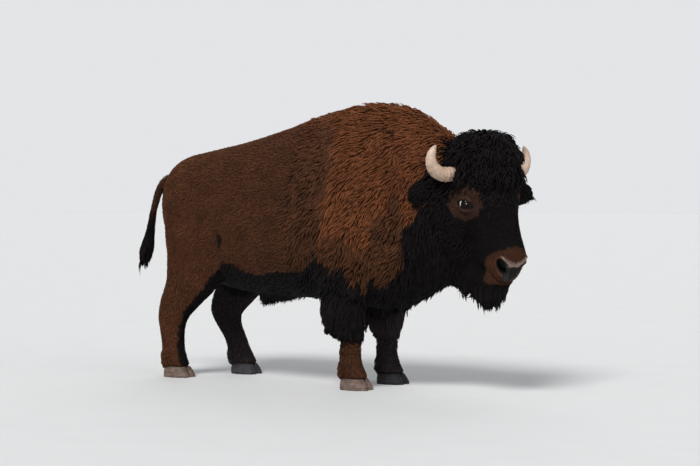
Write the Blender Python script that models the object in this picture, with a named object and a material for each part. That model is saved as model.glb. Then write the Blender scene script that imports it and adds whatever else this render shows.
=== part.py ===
"""A life-size American bison bull, standing with its head a little to its right.

Metres, +Z up, the animal faces +X and its left side is +Y. The coat is part of the solids: they reach
its tips. The flesh is modelled whole, as lofts and muscle forms fused by a voxel remesh, and then parted
with thin cuts into head, neck, trunk, legs and so on. Horns, eyes, hooves and dewclaws are solids of
their own, each in a socket or against a cut.
"""

import math
import random

import bmesh
import bpy
from mathutils import Matrix, Vector

# Driving dimensions. X is measured from the front hooves, and the whole is centred at the end.
SHOULDER_HEIGHT = 1.75  # top of the hump, coat included
STANCE = 1.361  # from the front hooves to the right hind hoof
HIND_STEP = 0.243  # how far the left hind foot is ahead of the right one
FRONT_STEP = 0.012  # how far the left front foot is ahead of the right one
HALF_TRACK = 0.20  # of the hooves, from the mid-plane
CORONET = 0.068  # height where hoof meets hair
HEAD_CENTRE = Vector((0.797, -0.03, 1.315))  # midway between the roots of the horns
HEAD_TURN = math.radians(-22)  # towards the animal's right
HEAD_PITCH = math.radians(61)  # of the face below the horizontal
EYE_RADIUS = 0.046
EYE_PLACE = (0.180, -0.038, 0.166)  # along the face, out of the brow, to the side
SOCKET_GAP = 0.0005  # round eyes, horns and dewclaws
CUT = 0.0007  # width of the thin cuts
CRUMB = 0.0002  # cubic metres: what the cuts leave that is smaller is dropped
VOXEL = 0.012
FLESH_TRIANGLES = 3040
HEAD_DETAIL = 0.00008  # how much more a collapse costs Decimate on the head than on the trunk

# Colours, as linear RGB.
CAPE_BROWN = (0.105, 0.034, 0.012)
COAT_BROWN = (0.052, 0.022, 0.012)
BLACK_BROWN = (0.008, 0.005, 0.005)
HORN_CREAM = (0.56, 0.41, 0.29)
HOOF_GREY = (0.20, 0.14, 0.12)
EYE_BLACK = (0.004, 0.003, 0.003)


# ---------------------------------------------------------------- shared tools


def clear_scene():
    for obj in list(bpy.data.objects):
        bpy.data.objects.remove(obj)


def material(name, colour, roughness):
    found = bpy.data.materials.get(name)
    if found:
        return found
    made = bpy.data.materials.new(name)
    made.use_nodes = True
    shader = made.node_tree.nodes["Principled BSDF"]
    shader.inputs["Base Color"].default_value = (*colour, 1.0)
    shader.inputs["Roughness"].default_value = roughness
    shader.inputs["Metallic"].default_value = 0.0
    return made


def object_from(bm, name):
    mesh = bpy.data.meshes.new(name)
    bm.normal_update()
    bm.to_mesh(mesh)
    bm.free()
    obj = bpy.data.objects.new(name, mesh)
    bpy.context.scene.collection.objects.link(obj)
    return obj


def helper(obj):
    """A cutter or a guide, which is no node."""
    obj.hide_render = True
    obj.display_type = "WIRE"
    return obj


def between(a, b, c, d, t):
    """The Catmull-Rom value a share t of the way from b to c."""
    square = (2 * a - 5 * b + 4 * c - d) * t**2
    cube = (3 * b - a - 3 * c + d) * t**3
    return 0.5 * (2 * b + (c - a) * t + square + cube)


def through(rows, steps):
    """Rows of numbers, filled in by a smooth curve with steps rows for each span."""
    ends = [rows[0], *rows, rows[-1]]
    filled = []
    for spans in zip(ends, ends[1:], ends[2:], ends[3:]):
        for step in range(steps):
            filled.append(tuple(between(*values, step / steps) for values in zip(*spans)))
    filled.append(tuple(rows[-1]))
    return filled


def ring(centre, across, up, down, power_up=2.0, power_down=2.0, count=28):
    """A closed superellipse: across is its half width, and up and down its half heights, as vectors."""
    points = []
    for i in range(count):
        c, s = math.cos(math.tau * i / count), math.sin(math.tau * i / count)
        power = power_up if s > 0 else power_down
        sideways = math.copysign(abs(c) ** (2 / power), c)
        upright = abs(s) ** (2 / power)
        points.append(centre + across * sideways + (up if s > 0 else down) * upright)
    return points


def loft(bm, rings):
    """Skins rings of points with triangles, and closes both ends with a fan.

    A piece and the larger copy that cuts its socket then bend along the same edges.
    """
    rows = [[bm.verts.new(p) for p in points] for points in rings]
    count = len(rows[0])
    faces = []
    for a, b in zip(rows, rows[1:]):
        for i in range(count):
            j = (i + 1) % count
            faces.append(bm.faces.new((a[i], a[j], b[j])))
            faces.append(bm.faces.new((a[i], b[j], b[i])))
    for row, points in ((rows[0][::-1], rings[0]), (rows[-1], rings[-1])):
        middle = bm.verts.new(sum(points, Vector()) / count)
        for i in range(count):
            faces.append(bm.faces.new((row[i], row[(i + 1) % count], middle)))
    bmesh.ops.recalc_face_normals(bm, faces=faces)
    return faces


def ellipsoid(bm, centre, radii, turn=None, detail=3):
    matrix = Matrix.Translation(centre) @ (turn.to_4x4() if turn else Matrix())
    matrix = matrix @ Matrix.Diagonal((*radii, 1.0))
    bmesh.ops.create_icosphere(bm, subdivisions=detail, radius=1.0, matrix=matrix)


def lock(bm, root, tip, width, thickness):
    """A tapering lock of hair: a flattened cone from root to tip."""
    along = (tip - root).normalized()
    turn = along.to_track_quat("Z", "Y").to_matrix().to_4x4()
    length = (tip - root).length
    rings = []
    for t, size in ((0.0, 0.75), (0.3, 1.0), (0.65, 0.72), (0.95, 0.2)):
        centre = root + along * (length * t)
        side = (turn @ Vector((1, 0, 0))) * (width * size / 2)
        front = (turn @ Vector((0, 1, 0))) * (thickness * size / 2)
        rings.append(ring(centre, side, front, -front, count=10))
    loft(bm, rings)


def longer(places, grow):
    """Moves the two end points of a path outwards by grow."""
    places[0] += (places[0] - places[1]).normalized() * grow
    places[-1] += (places[-1] - places[-2]).normalized() * grow


# ---------------------------------------------------------------- the head's own frame


def head_axes():
    """Unit vectors: along the face to the nose, out of the brow, and to the animal's left."""
    ahead = Vector((math.cos(HEAD_TURN), math.sin(HEAD_TURN), 0.0))
    up = Vector((0, 0, 1))
    nosewards = ahead * math.cos(HEAD_PITCH) - up * math.sin(HEAD_PITCH)
    outwards = ahead * math.sin(HEAD_PITCH) + up * math.cos(HEAD_PITCH)
    left = up.cross(ahead)
    return nosewards, outwards, left


def face_point(along, out, left):
    """A point given along the face, out of the brow, and to the left."""
    nosewards, outwards, leftwards = head_axes()
    return HEAD_CENTRE + nosewards * along + outwards * out + leftwards * left


def level_point(ahead, left, up):
    """A point given level ahead of the head's centre, to its left and above it."""
    forward = Vector((math.cos(HEAD_TURN), math.sin(HEAD_TURN), 0.0))
    return HEAD_CENTRE + forward * ahead + Vector((0, 0, 1)).cross(forward) * left + Vector((0, 0, up))


# ---------------------------------------------------------------- flesh and coat


def trunk(bm):
    """Rump, barrel, hump and neck as one loft along X."""
    # x, left shift, top, widest height, bottom, half width, fullness above, fullness below
    sections = (
        (-1.543, 0.000, 1.240, 1.13, 1.020, 0.080, 2.0, 2.0),
        (-1.505, 0.000, 1.350, 1.11, 0.870, 0.175, 2.0, 2.0),
        (-1.390, 0.000, 1.422, 1.09, 0.700, 0.250, 2.0, 2.0),
        (-1.18, 0.000, 1.464, 1.07, 0.610, 0.300, 1.9, 2.0),
        (-0.90, 0.000, 1.519, 1.02, 0.555, 0.345, 1.8, 2.1),
        (-0.60, 0.000, 1.598, 0.97, 0.540, 0.385, 1.65, 2.2),
        (-0.32, 0.000, 1.688, 0.95, 0.530, 0.400, 1.5, 2.2),
        (-0.02, 0.000, SHOULDER_HEIGHT, 0.94, 0.500, 0.400, 1.45, 2.1),
        (0.16, 0.000, 1.747, 0.94, 0.480, 0.380, 1.45, 2.0),
        (0.34, 0.000, 1.700, 0.97, 0.530, 0.345, 1.6, 2.0),
        (0.50, -0.005, 1.602, 1.02, 0.625, 0.300, 1.75, 2.0),
        (0.64, -0.015, 1.492, 1.06, 0.665, 0.250, 1.9, 2.0),
        (0.76, -0.030, 1.370, 1.06, 0.720, 0.190, 2.0, 2.0),
    )
    rings = []
    for x, shift, top, widest, bottom, half, above, below in through(sections, 4):
        centre = Vector((x, shift, widest))
        up, down = Vector((0, 0, top - widest)), Vector((0, 0, bottom - widest))
        rings.append(ring(centre, Vector((0, half, 0)), up, down, above, below, count=40))
    loft(bm, rings)


def limb(bm, sections, side, shift=0.0):
    """A leg as level sections: x, from the mid-plane, height, half length fore and aft, half width."""
    rings = []
    for x, out, height, fore, across in through(sections, 4):
        centre = Vector((x + shift, side * out, height))
        front = Vector((fore, 0, 0))
        rings.append(ring(centre, Vector((0, -side * across, 0)), front, -front, 2.2, 2.2, count=20))
    loft(bm, rings)


def front_leg(bm, side, shift):
    limb(
        bm,
        (
            (0.06, 0.215, 1.16, 0.20, 0.135),
            (0.02, 0.255, 0.92, 0.21, 0.125),
            (-0.05, 0.245, 0.70, 0.165, 0.115),
            (-0.035, 0.220, 0.52, 0.115, 0.095),
            (-0.012, 0.205, 0.37, 0.087, 0.078),
            (-0.026, HALF_TRACK, 0.23, 0.068, 0.060),
            (-0.018, HALF_TRACK, 0.135, 0.077, 0.068),
            (0.002, HALF_TRACK, 0.075, 0.088, 0.077),
            (0.010, HALF_TRACK, 0.02, 0.084, 0.077),
        ),
        side,
        shift,
    )


def hind_leg(bm, side, step):
    """The thigh stays with the trunk; below it the leg moves ahead by step."""
    rows = (
        # share of the step, x, out, height, half length, half width
        (0.15, -1.270, 0.165, 1.16, 0.175, 0.125),
        (0.25, -1.225, 0.195, 0.94, 0.215, 0.120),
        (0.35, -1.190, 0.205, 0.76, 0.228, 0.110),
        (0.45, -1.230, 0.205, 0.61, 0.204, 0.094),
        (0.48, -1.328, 0.200, 0.475, 0.162, 0.080),
        (0.55, -1.394, 0.200, 0.37, 0.107, 0.070),
        (0.85, -1.393, HALF_TRACK, 0.23, 0.080, 0.063),
        (0.97, -1.383, HALF_TRACK, 0.135, 0.085, 0.068),
        (1.00, -1.366, HALF_TRACK, 0.075, 0.091, 0.076),
        (1.00, -1.361, HALF_TRACK, 0.02, 0.086, 0.076),
    )
    limb(bm, [(x + share * step, *rest) for share, x, *rest in rows], side)


def head(bm):
    """The face as one loft from poll to nose, with brow, cheeks, lips and nostrils set on it."""
    nosewards, outwards, left = head_axes()
    # along the face, brow side, throat side, half width, fullness
    sections = (
        (-0.13, 0.020, -0.120, 0.085, 2.0),
        (-0.06, 0.080, -0.190, 0.155, 2.1),
        (0.02, 0.120, -0.215, 0.196, 2.2),
        (0.11, 0.128, -0.228, 0.200, 2.3),
        (0.19, 0.114, -0.226, 0.184, 2.3),
        (0.28, 0.092, -0.212, 0.156, 2.3),
        (0.37, 0.075, -0.195, 0.130, 2.3),
        (0.45, 0.064, -0.182, 0.118, 2.4),
        (0.53, 0.047, -0.168, 0.118, 2.7),
        (0.585, 0.026, -0.152, 0.110, 2.8),
        (0.618, -0.002, -0.135, 0.088, 2.6),
    )
    rings = []
    for along, out, inward, half, power in through(sections, 4):
        centre = face_point(along, (out + inward) / 2, 0.0)
        depth = outwards * (out - inward) / 2
        rings.append(ring(centre, left * half, depth, -depth, power, power, count=32))
    loft(bm, rings)
    turn = Matrix((nosewards, outwards, left)).transposed()
    for side in (-1, 1):
        ellipsoid(bm, face_point(0.138, -0.045, side * 0.156), (0.078, 0.066, 0.058), turn)  # orbit
        ellipsoid(bm, level_point(-0.070, side * 0.135, -0.270), (0.115, 0.085, 0.200))  # hair behind the eye
        ellipsoid(bm, face_point(0.230, -0.150, side * 0.105), (0.130, 0.080, 0.068), turn)  # cheek
        ellipsoid(bm, face_point(0.400, -0.150, side * 0.072), (0.150, 0.060, 0.050), turn)  # jaw
        ellipsoid(bm, face_point(0.560, -0.022, side * 0.076), (0.046, 0.042, 0.044), turn)  # nostril wing
        ellipsoid(bm, face_point(0.505, -0.110, side * 0.060), (0.072, 0.052, 0.050), turn)  # upper lip
        ellipsoid(bm, face_point(0.588, -0.098, side * 0.042), (0.068, 0.046, 0.050), turn)  # lip
    ellipsoid(bm, face_point(0.570, -0.152, 0.0), (0.106, 0.046, 0.072), turn)  # chin
    ellipsoid(bm, level_point(0.000, 0.0, -0.460), (0.150, 0.115, 0.200))  # throat


def bonnet(bm):
    """The woolly crown between the horns, as a dome with rings of rounded lumps."""
    ellipsoid(bm, level_point(0.005, 0.0, 0.045), (0.208, 0.218, 0.219), Matrix.Rotation(HEAD_TURN, 3, "Z"))
    lumps = ((-0.03, 0.176, 9), (0.080, 0.168, 9), (0.172, 0.115, 6))  # height, reach, count
    for row, (height, reach, count) in enumerate(lumps):
        for i in range(count):
            angle = math.tau * (i + 0.5 * (row % 2)) / count
            place = level_point(0.003 + reach * math.cos(angle), reach * 1.06 * math.sin(angle), height)
            ellipsoid(bm, place, (0.074, 0.074, 0.068), detail=2)


def beard(bm, rng):
    """The beard under the chin, a bundle of locks whose tips make its ragged hem."""
    for i in range(19):
        angle = math.tau * i / 19
        near = 0.45 if i % 2 else 1.0
        ahead, out = near * math.cos(angle), near * math.sin(angle)
        root = level_point(0.120 + 0.075 * ahead, 0.062 * out, -0.585)
        rise = 0.045 * abs(out) + 0.085 * max(ahead, 0) + 0.03 * max(-ahead, 0)
        tip = level_point(0.078 + 0.085 * ahead, 0.085 * out, -0.832 + rise + rng.uniform(-0.01, 0.01))
        lock(bm, root, tip, 0.085, 0.070)


def jaw_hair(bm, rng):
    """Locks along the lower edge of the jaw, from the beard back to the throat."""
    # ahead, hem height and half spread, from the head's centre
    hem = ((0.030, -0.762, 0.070), (-0.050, -0.755, 0.085), (-0.130, -0.712, 0.095))
    for ahead, low, spread in through(hem, 2):
        for out in (-1, 0, 1):
            root = level_point(ahead + 0.02, out * spread, low + 0.20)
            end = low + 0.02 * abs(out) + rng.uniform(-0.012, 0.012)
            lock(bm, root, level_point(ahead - 0.02, out * spread, end), 0.085, 0.080)


def throat_mane(bm, rng):
    """Locks along the underside of the neck, from the jaw to between the front legs."""
    # x, height of the hem, half spread
    hem = (
        (0.60, 0.664, 0.075),
        (0.52, 0.678, 0.085),
        (0.42, 0.606, 0.100),
        (0.31, 0.540, 0.115),
        (0.21, 0.440, 0.120),
    )
    for x, low, spread in through(hem, 2):
        for out in (-1, 0, 1):
            root = Vector((x + 0.03, out * spread - 0.01, low + 0.20))
            end = low + 0.02 * abs(out) + rng.uniform(-0.012, 0.012)
            lock(bm, root, Vector((x - 0.035, out * spread * 1.15 - 0.01, end)), 0.085, 0.080)


def chaps(bm, side, shift, rng):
    """The long hair of a front leg: a skirt of locks round it, in two layers, higher behind."""
    count = 16
    for layer, (root_height, spread, lift) in enumerate(((0.76, 1.0, 0.10), (0.56, 0.86, 0.0))):
        for i in range(count):
            angle = math.tau * (i + 0.5 * layer) / count
            ahead, out = math.cos(angle), math.sin(angle)
            behind = max(-ahead, 0.0)
            root_x = shift - 0.055 + 0.125 * spread * ahead
            root = Vector((root_x, side * 0.235 + 0.085 * spread * out, root_height))
            low = 0.245 + lift + 0.085 * max(ahead, 0.0) + 0.20 * behind**2 + rng.uniform(-0.01, 0.02)
            tip_x = shift - 0.055 + 0.122 * spread * ahead - 0.055 * behind
            lock(bm, root, Vector((tip_x, side * 0.212 + 0.088 * out, low)), 0.080, 0.075)


def sheath(bm):
    """The tuft under the belly."""
    ellipsoid(bm, Vector((-0.70, 0, 0.545)), (0.16, 0.045, 0.040), detail=2)
    for x, low in ((-0.845, 0.505), (-0.795, 0.452), (-0.745, 0.482)):
        lock(bm, Vector((-0.78, 0, 0.60)), Vector((x, 0, low)), 0.075, 0.060)


def tail(bm, rng):
    rows = (
        # x, height, half length, half width
        (-1.510, 1.315, 0.050, 0.050),
        (-1.592, 1.287, 0.044, 0.040),
        (-1.668, 1.192, 0.034, 0.030),
        (-1.716, 1.060, 0.028, 0.026),
        (-1.738, 0.940, 0.032, 0.030),
        (-1.744, 0.900, 0.028, 0.026),
    )
    rings = []
    for x, height, fore, across in through(rows, 4):
        front = Vector((fore, 0, 0))
        rings.append(ring(Vector((x, 0, height)), Vector((0, across, 0)), front, -front, count=16))
    loft(bm, rings)
    for i in range(9):
        angle = math.tau * i / 9
        spread = Vector((math.cos(angle), math.sin(angle), 0))
        root = Vector((-1.734, 0, 0.965)) + 0.016 * spread
        middle = Vector((-1.762, 0, 0.860)) + 0.036 * spread
        tip = Vector((-1.806, 0, 0.735)) + 0.026 * spread + Vector((0, 0, rng.uniform(-0.04, 0.03)))
        lock(bm, root, middle * 2 - root, 0.034, 0.030)
        lock(bm, middle, tip, 0.042, 0.036)


def fused_flesh():
    """All the flesh and coat as one closed skin: voxel remesh, smoothing, then fewer triangles."""
    rng = random.Random(7)
    bm = bmesh.new()
    trunk(bm)
    for side in (-1, 1):
        shift, step = strides(side)
        front_leg(bm, side, shift)
        hind_leg(bm, side, step)
        chaps(bm, side, shift, rng)
    head(bm)
    bonnet(bm)
    beard(bm, rng)
    jaw_hair(bm, rng)
    throat_mane(bm, rng)
    sheath(bm)
    tail(bm, rng)
    rough = helper(object_from(bm, "flesh_rough"))
    fuse = rough.modifiers.new("fuse", "REMESH")
    fuse.mode = "VOXEL"
    fuse.voxel_size = VOXEL
    fuse.adaptivity = 0.0
    relax = rough.modifiers.new("relax", "SMOOTH")
    relax.factor = 0.5
    relax.iterations = 7
    flesh = helper(evaluated_copy(rough, "flesh"))
    thin_out(flesh)
    return flesh


def evaluated_copy(obj, name):
    """A new object with the mesh that obj's modifiers make."""
    graph = bpy.context.evaluated_depsgraph_get()
    mesh = bpy.data.meshes.new_from_object(obj.evaluated_get(graph))
    mesh.name = name
    made = bpy.data.objects.new(name, mesh)
    bpy.context.scene.collection.objects.link(made)
    return made


def thin_out(flesh):
    """Collapses triangles, fewer of them round the head, where the shapes are finest."""
    keep = flesh.vertex_groups.new(name="plain")
    for vertex in flesh.data.vertices:
        near_head = (vertex.co - face_point(0.25, 0.0, 0.0)).length
        keep.add([vertex.index], min(max((near_head - 0.25) / 0.35, 0.02), 1.0), "REPLACE")
    fewer = flesh.modifiers.new("fewer", "DECIMATE")
    fewer.ratio = FLESH_TRIANGLES / (2 * len(flesh.data.polygons))
    fewer.use_collapse_triangulate = True
    fewer.vertex_group = keep.name
    fewer.vertex_group_factor = HEAD_DETAIL


# ---------------------------------------------------------------- horns, eyes, hooves


def horn(side, grow=0.0):
    """A short thick horn that leaves the crown sideways and turns up and a little in."""
    rows = (
        # out, ahead, up, radius
        (0.130, -0.020, 0.005, 0.044),
        (0.210, -0.028, -0.012, 0.045),
        (0.285, -0.036, -0.012, 0.044),
        (0.340, -0.040, 0.022, 0.040),
        (0.360, -0.038, 0.078, 0.032),
        (0.350, -0.032, 0.124, 0.022),
        (0.332, -0.026, 0.155, 0.007),
    )
    rows = through(rows, 2)
    places = [level_point(ahead, side * out, up) for out, ahead, up, _ in rows]
    longer(places, grow)
    bm = bmesh.new()
    rings = []
    for i, (place, row) in enumerate(zip(places, rows)):
        along = (places[min(i + 1, len(places) - 1)] - places[max(i - 1, 0)]).normalized()
        sideways = along.cross(Vector((1, 0, 0))).normalized()
        upright = along.cross(sideways)
        radius = row[3] + grow
        rings.append(ring(place, sideways * radius, upright * radius, -upright * radius, count=10))
    loft(bm, rings)
    return bm


def ear(side, grow=0.0):
    """A drooping, cupped ear. The right one is laid back a little, and the left one is pricked forward."""
    swing = -0.18 if side < 0 else 0.22  # how far it goes ahead for each metre out
    rows = (
        # out, ahead, up, half height, half thickness
        (0.130, -0.105, -0.095, 0.036, 0.026),
        (0.210, -0.115, -0.110, 0.062, 0.034),
        (0.290, -0.122, -0.116, 0.086, 0.034),
        (0.365, -0.122, -0.122, 0.078, 0.026),
        (0.425, -0.116, -0.130, 0.034, 0.012),
    )
    rows = through(rows, 2)
    root = rows[0][0]
    places = [level_point(ahead + swing * (out - root), side * out, up) for out, ahead, up, _, _ in rows]
    longer(places, grow)
    bm = bmesh.new()
    rings = []
    for place, (_, _, _, half_height, half_depth) in zip(places, rows):
        deep = level_point(half_depth + grow, 0, 0) - HEAD_CENTRE
        upright = Vector((0, 0, half_height + grow))
        rings.append(ring(place, deep, upright, -upright, count=10))
    loft(bm, rings)
    return bm


def eye(side, grow=0.0):
    along, out, aside = EYE_PLACE
    bm = bmesh.new()
    bmesh.ops.create_uvsphere(
        bm,
        u_segments=12,
        v_segments=6,
        radius=EYE_RADIUS + grow,
        matrix=Matrix.Translation(face_point(along, out, side * aside)),
    )
    return bm


def claw(foot, side, half_length=0.090, half_width=0.038, slope=0.020):
    """One half of a cloven hoof, with a flat sole at the floor. side is the claw's own side of the foot."""
    gap = 0.004
    rings = []
    for height, spread in ((0.0, 1.06), (0.012, 1.08), (0.040, 1.0), (CORONET - 0.0006, 0.86)):
        lean = slope * (1 - height / CORONET)
        centre = foot + Vector((lean + 0.004, side * (gap + half_width * spread * 0.98), height))
        across = Vector((0, half_width * spread, 0))
        toe = Vector((half_length * spread, side * -0.012 * spread, 0))
        heel = Vector((-half_length * spread * 0.88, 0, 0))
        points = ring(centre, across, toe, heel, 2.3, 2.8, count=12)
        inner = foot.y + side * gap
        points = [Vector((p.x, max(p.y, inner) if side > 0 else min(p.y, inner), p.z)) for p in points]
        rings.append(points)
    bm = bmesh.new()
    loft(bm, rings)
    return bm


def dewclaw(foot, side, grow=0.0):
    """The small spare hoof behind the pastern."""
    place = Matrix.Translation(foot + Vector((-0.084, side * 0.030, 0.098)))
    tilt = Matrix.Rotation(math.radians(25), 4, "Y")
    size = Matrix.Diagonal((0.017 + grow, 0.015 + grow, 0.025 + grow, 1.0))
    bm = bmesh.new()
    bmesh.ops.create_uvsphere(bm, u_segments=7, v_segments=4, radius=1.0, matrix=place @ tilt @ size)
    return bm


def feet():
    """The place on the floor under each foot, by name."""
    return {
        "front_right": Vector((0.0, -HALF_TRACK, 0.0)),
        "front_left": Vector((FRONT_STEP, HALF_TRACK, 0.0)),
        "hind_right": Vector((-STANCE, -HALF_TRACK, 0.0)),
        "hind_left": Vector((HIND_STEP - STANCE, HALF_TRACK, 0.0)),
    }


def side_name(side):
    return "right" if side < 0 else "left"


def strides(side):
    """How far the front and the hind foot of a side are ahead of the right ones."""
    return (0.0, 0.0) if side < 0 else (FRONT_STEP, HIND_STEP)


def finished(bm, name, look, smooth_angle=50):
    obj = object_from(bm, name)
    dress(obj, look, smooth_angle)
    return obj


def dress(obj, look, smooth_angle=50):
    obj.data.materials.clear()
    obj.data.materials.append(material(*look))
    obj.data.shade_smooth()
    obj.data.set_sharp_from_angle(angle=math.radians(smooth_angle))


def hard_pieces():
    """Makes horns, eyes, claws and dewclaws, and returns the cutters that make room for them."""
    cutters = []
    for side in (-1, 1):
        finished(horn(side), f"horn_{side_name(side)}", ("horn", HORN_CREAM, 0.5))
        finished(eye(side), f"eye_{side_name(side)}", ("eye", EYE_BLACK, 0.08))
        finished(ear(side), f"ear_{side_name(side)}", ("dark_coat", BLACK_BROWN, 0.9))
        cutters += [make(side, SOCKET_GAP) for make in (horn, eye, ear)]
    for foot_name, foot in feet().items():
        for side in (-1, 1):
            place = "outer" if side * foot.y > 0 else "inner"
            finished(claw(foot, side), f"claw_{foot_name}_{place}", ("hoof", HOOF_GREY, 0.6))
            finished(dewclaw(foot, side), f"dewclaw_{foot_name}_{place}", ("hoof", HOOF_GREY, 0.6))
            cutters.append(dewclaw(foot, side, SOCKET_GAP))
    return [helper(object_from(bm, f"room_{i}")) for i, bm in enumerate(cutters)]


# ---------------------------------------------------------------- thin cuts


def slab(name, centre, normal, reach_a, reach_b, toward=Vector((0, 1, 0))):
    """A thin plate across normal: it reaches reach_a along toward, and reach_b across that, each way."""
    normal = normal.normalized()
    first = (toward - normal * toward.dot(normal)).normalized()
    second = normal.cross(first)
    turn = Matrix((first, second, normal)).transposed().to_4x4()
    bm = bmesh.new()
    size = Matrix.Diagonal((2 * reach_a, 2 * reach_b, CUT, 1.0))
    bmesh.ops.create_cube(bm, size=1.0, matrix=Matrix.Translation(centre) @ turn @ size)
    return helper(object_from(bm, name))


def below_the_coronets():
    """Blocks that take the legs off level where the hooves begin."""
    made = []
    for name, foot in feet().items():
        bm = bmesh.new()
        middle = Matrix.Translation(foot + Vector((0, 0, CORONET - 0.25)))
        bmesh.ops.create_cube(bm, size=1.0, matrix=middle @ Matrix.Diagonal((0.4, 0.3, 0.5, 1.0)))
        made.append(helper(object_from(bm, f"under_{name}")))
    return made


def cuts():
    """The plates that part the flesh."""
    nosewards, outwards, left = head_axes()
    forward = Vector((math.cos(HEAD_TURN), math.sin(HEAD_TURN), 0.0))
    up = Vector((0, 0, 1))
    plates = [
        slab("cut_loin", Vector((-0.91, 0, 1.0)), Vector((1, 0, 0.10)), 0.6, 0.75),
        slab("cut_withers", Vector((-0.37, 0, 1.0)), Vector((1, 0, 0.05)), 0.6, 0.85),
        slab("cut_neck", Vector((0.36, 0, 1.05)), Vector((1, 0, 0.30)), 0.6, 0.75),
        slab("cut_nape", level_point(-0.135, 0, -0.10), forward + up * 0.20, 0.5, 0.80, left),
        slab("cut_bonnet", level_point(0.10, 0, -0.075), up - forward * 0.18, 0.40, 0.40),
        slab("cut_beard", level_point(0.110, 0, -0.650), up - forward * 0.25, 0.20, 0.155, left),
        slab("cut_tail", Vector((-1.620, 0, 1.240)), Vector((0.7, 0, 1)), 0.10, 0.065),
        slab("cut_tail_tuft", Vector((-1.745, 0, 0.935)), Vector((0.2, 0, 1)), 0.09, 0.09),
    ]
    for side in (-1, 1):
        name = side_name(side)
        shift, step = strides(side)
        elbow = Vector((-0.05 + shift, side * 0.25, 0.545))
        knee = Vector((-0.02 + shift, side * 0.20, 0.262))
        thigh = Vector((-1.235, side * 0.20, 0.70))
        hock = Vector((-1.39 + 0.6 * step, side * 0.20, 0.42))
        plates += [
            slab(f"cut_elbow_{name}", elbow, Vector((0, -side * 0.75, 1)), 0.26, 0.36),
            slab(f"cut_knee_{name}", knee, up, 0.13, 0.2),
            slab(f"cut_thigh_{name}", thigh, Vector((0.45, -side * 1.5, 1)), 0.42, 0.37),
            slab(f"cut_hock_{name}", hock, up, 0.13, 0.25),
        ]
    return plates


def parted(flesh, cutters):
    """Cuts the flesh with all the cutters at once and returns its loose parts as objects."""
    together = bpy.data.collections.new("cutters")
    for cutter in cutters:
        together.objects.link(cutter)
    cut = flesh.modifiers.new("cut", "BOOLEAN")
    cut.operation = "DIFFERENCE"
    cut.solver = "EXACT"
    cut.operand_type = "COLLECTION"
    cut.collection = together
    whole = evaluated_copy(flesh, "flesh_cut")
    bm = bmesh.new()
    bm.from_mesh(whole.data)
    bpy.data.objects.remove(whole)
    parts = []
    unseen = set(bm.verts)
    while unseen:
        island, front = set(), [unseen.pop()]
        while front:
            vertex = front.pop()
            island.add(vertex)
            for edge in vertex.link_edges:
                other = edge.other_vert(vertex)
                if other in unseen:
                    unseen.remove(other)
                    front.append(other)
        parts.append(island)
    made = []
    for number, island in enumerate(parts):
        piece = bm.copy()
        keep = {v.index for v in island}
        piece.verts.ensure_lookup_table()
        bmesh.ops.delete(piece, geom=[v for v in piece.verts if v.index not in keep], context="VERTS")
        made.append(object_from(piece, f"part_{number}"))
    bm.free()
    return made


def anchors():
    """A point well inside each part of the flesh, and the part's look."""
    cape = ("cape_coat", CAPE_BROWN, 0.9)
    brown = ("short_coat", COAT_BROWN, 0.8)
    black = ("dark_coat", BLACK_BROWN, 0.9)
    found = {
        "hindquarters": (Vector((-1.28, 0, 1.05)), brown),
        "barrel": (Vector((-0.64, 0, 1.05)), brown),
        "shoulders": (Vector((-0.03, 0, 1.15)), cape),
        "neck": (Vector((0.52, 0, 1.05)), cape),
        "head": (face_point(0.26, -0.05, 0), black),
        "bonnet": (level_point(0.03, 0, 0.07), black),
        "beard": (level_point(0.07, 0, -0.70), black),
        "tail": (Vector((-1.69, 0, 1.09)), brown),
        "tail_tuft": (Vector((-1.79, 0, 0.83)), black),
    }
    for side in (-1, 1):
        name = side_name(side)
        shift, step = strides(side)
        found[f"front_leg_{name}_upper"] = (Vector((-0.05 + shift, side * 0.22, 0.52)), black)
        found[f"front_leg_{name}_lower"] = (Vector((-0.02 + shift, side * 0.20, 0.16)), brown)
        found[f"hind_leg_{name}_upper"] = (Vector((-1.33 + 0.45 * step, side * 0.21, 0.62)), brown)
        found[f"hind_leg_{name}_lower"] = (Vector((-1.41 + 0.85 * step, side * 0.20, 0.22)), brown)
    return found


def middle_of(obj):
    """The centre of an object's box."""
    corners = [Vector(c) for c in obj.bound_box]
    return sum(corners, Vector()) / 8


def volume(obj):
    bm = bmesh.new()
    bm.from_mesh(obj.data)
    found = bm.calc_volume()
    bm.free()
    return found


def name_parts(parts):
    """Names each part after the nearest anchor, and drops the crumbs."""
    places = anchors()
    for obj in parts:
        if volume(obj) < CRUMB:
            bpy.data.objects.remove(obj)
            continue
        name = min(places, key=lambda n: (places[n][0] - middle_of(obj)).length)
        _, look = places.pop(name)
        obj.name = name
        dress(obj, look)


def centre_on_floor():
    """Moves everything so that the middle of the animal's box is over the origin."""
    bpy.context.view_layer.update()
    shown = [o for o in bpy.data.objects if not o.hide_render]
    corners = [o.matrix_world @ Vector(c) for o in shown for c in o.bound_box]
    middle_x = (min(c.x for c in corners) + max(c.x for c in corners)) / 2
    middle_y = (min(c.y for c in corners) + max(c.y for c in corners)) / 2
    for obj in shown:
        obj.location -= Vector((middle_x, middle_y, 0))


def main():
    clear_scene()
    flesh = fused_flesh()
    cutters = hard_pieces() + below_the_coronets() + cuts()
    name_parts(parted(flesh, cutters))
    centre_on_floor()


main()
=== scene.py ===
import math

import bmesh
import bpy
import numpy as np
from mathutils import Matrix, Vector
from mathutils.bvhtree import BVHTree
from mathutils.kdtree import KDTree


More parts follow.
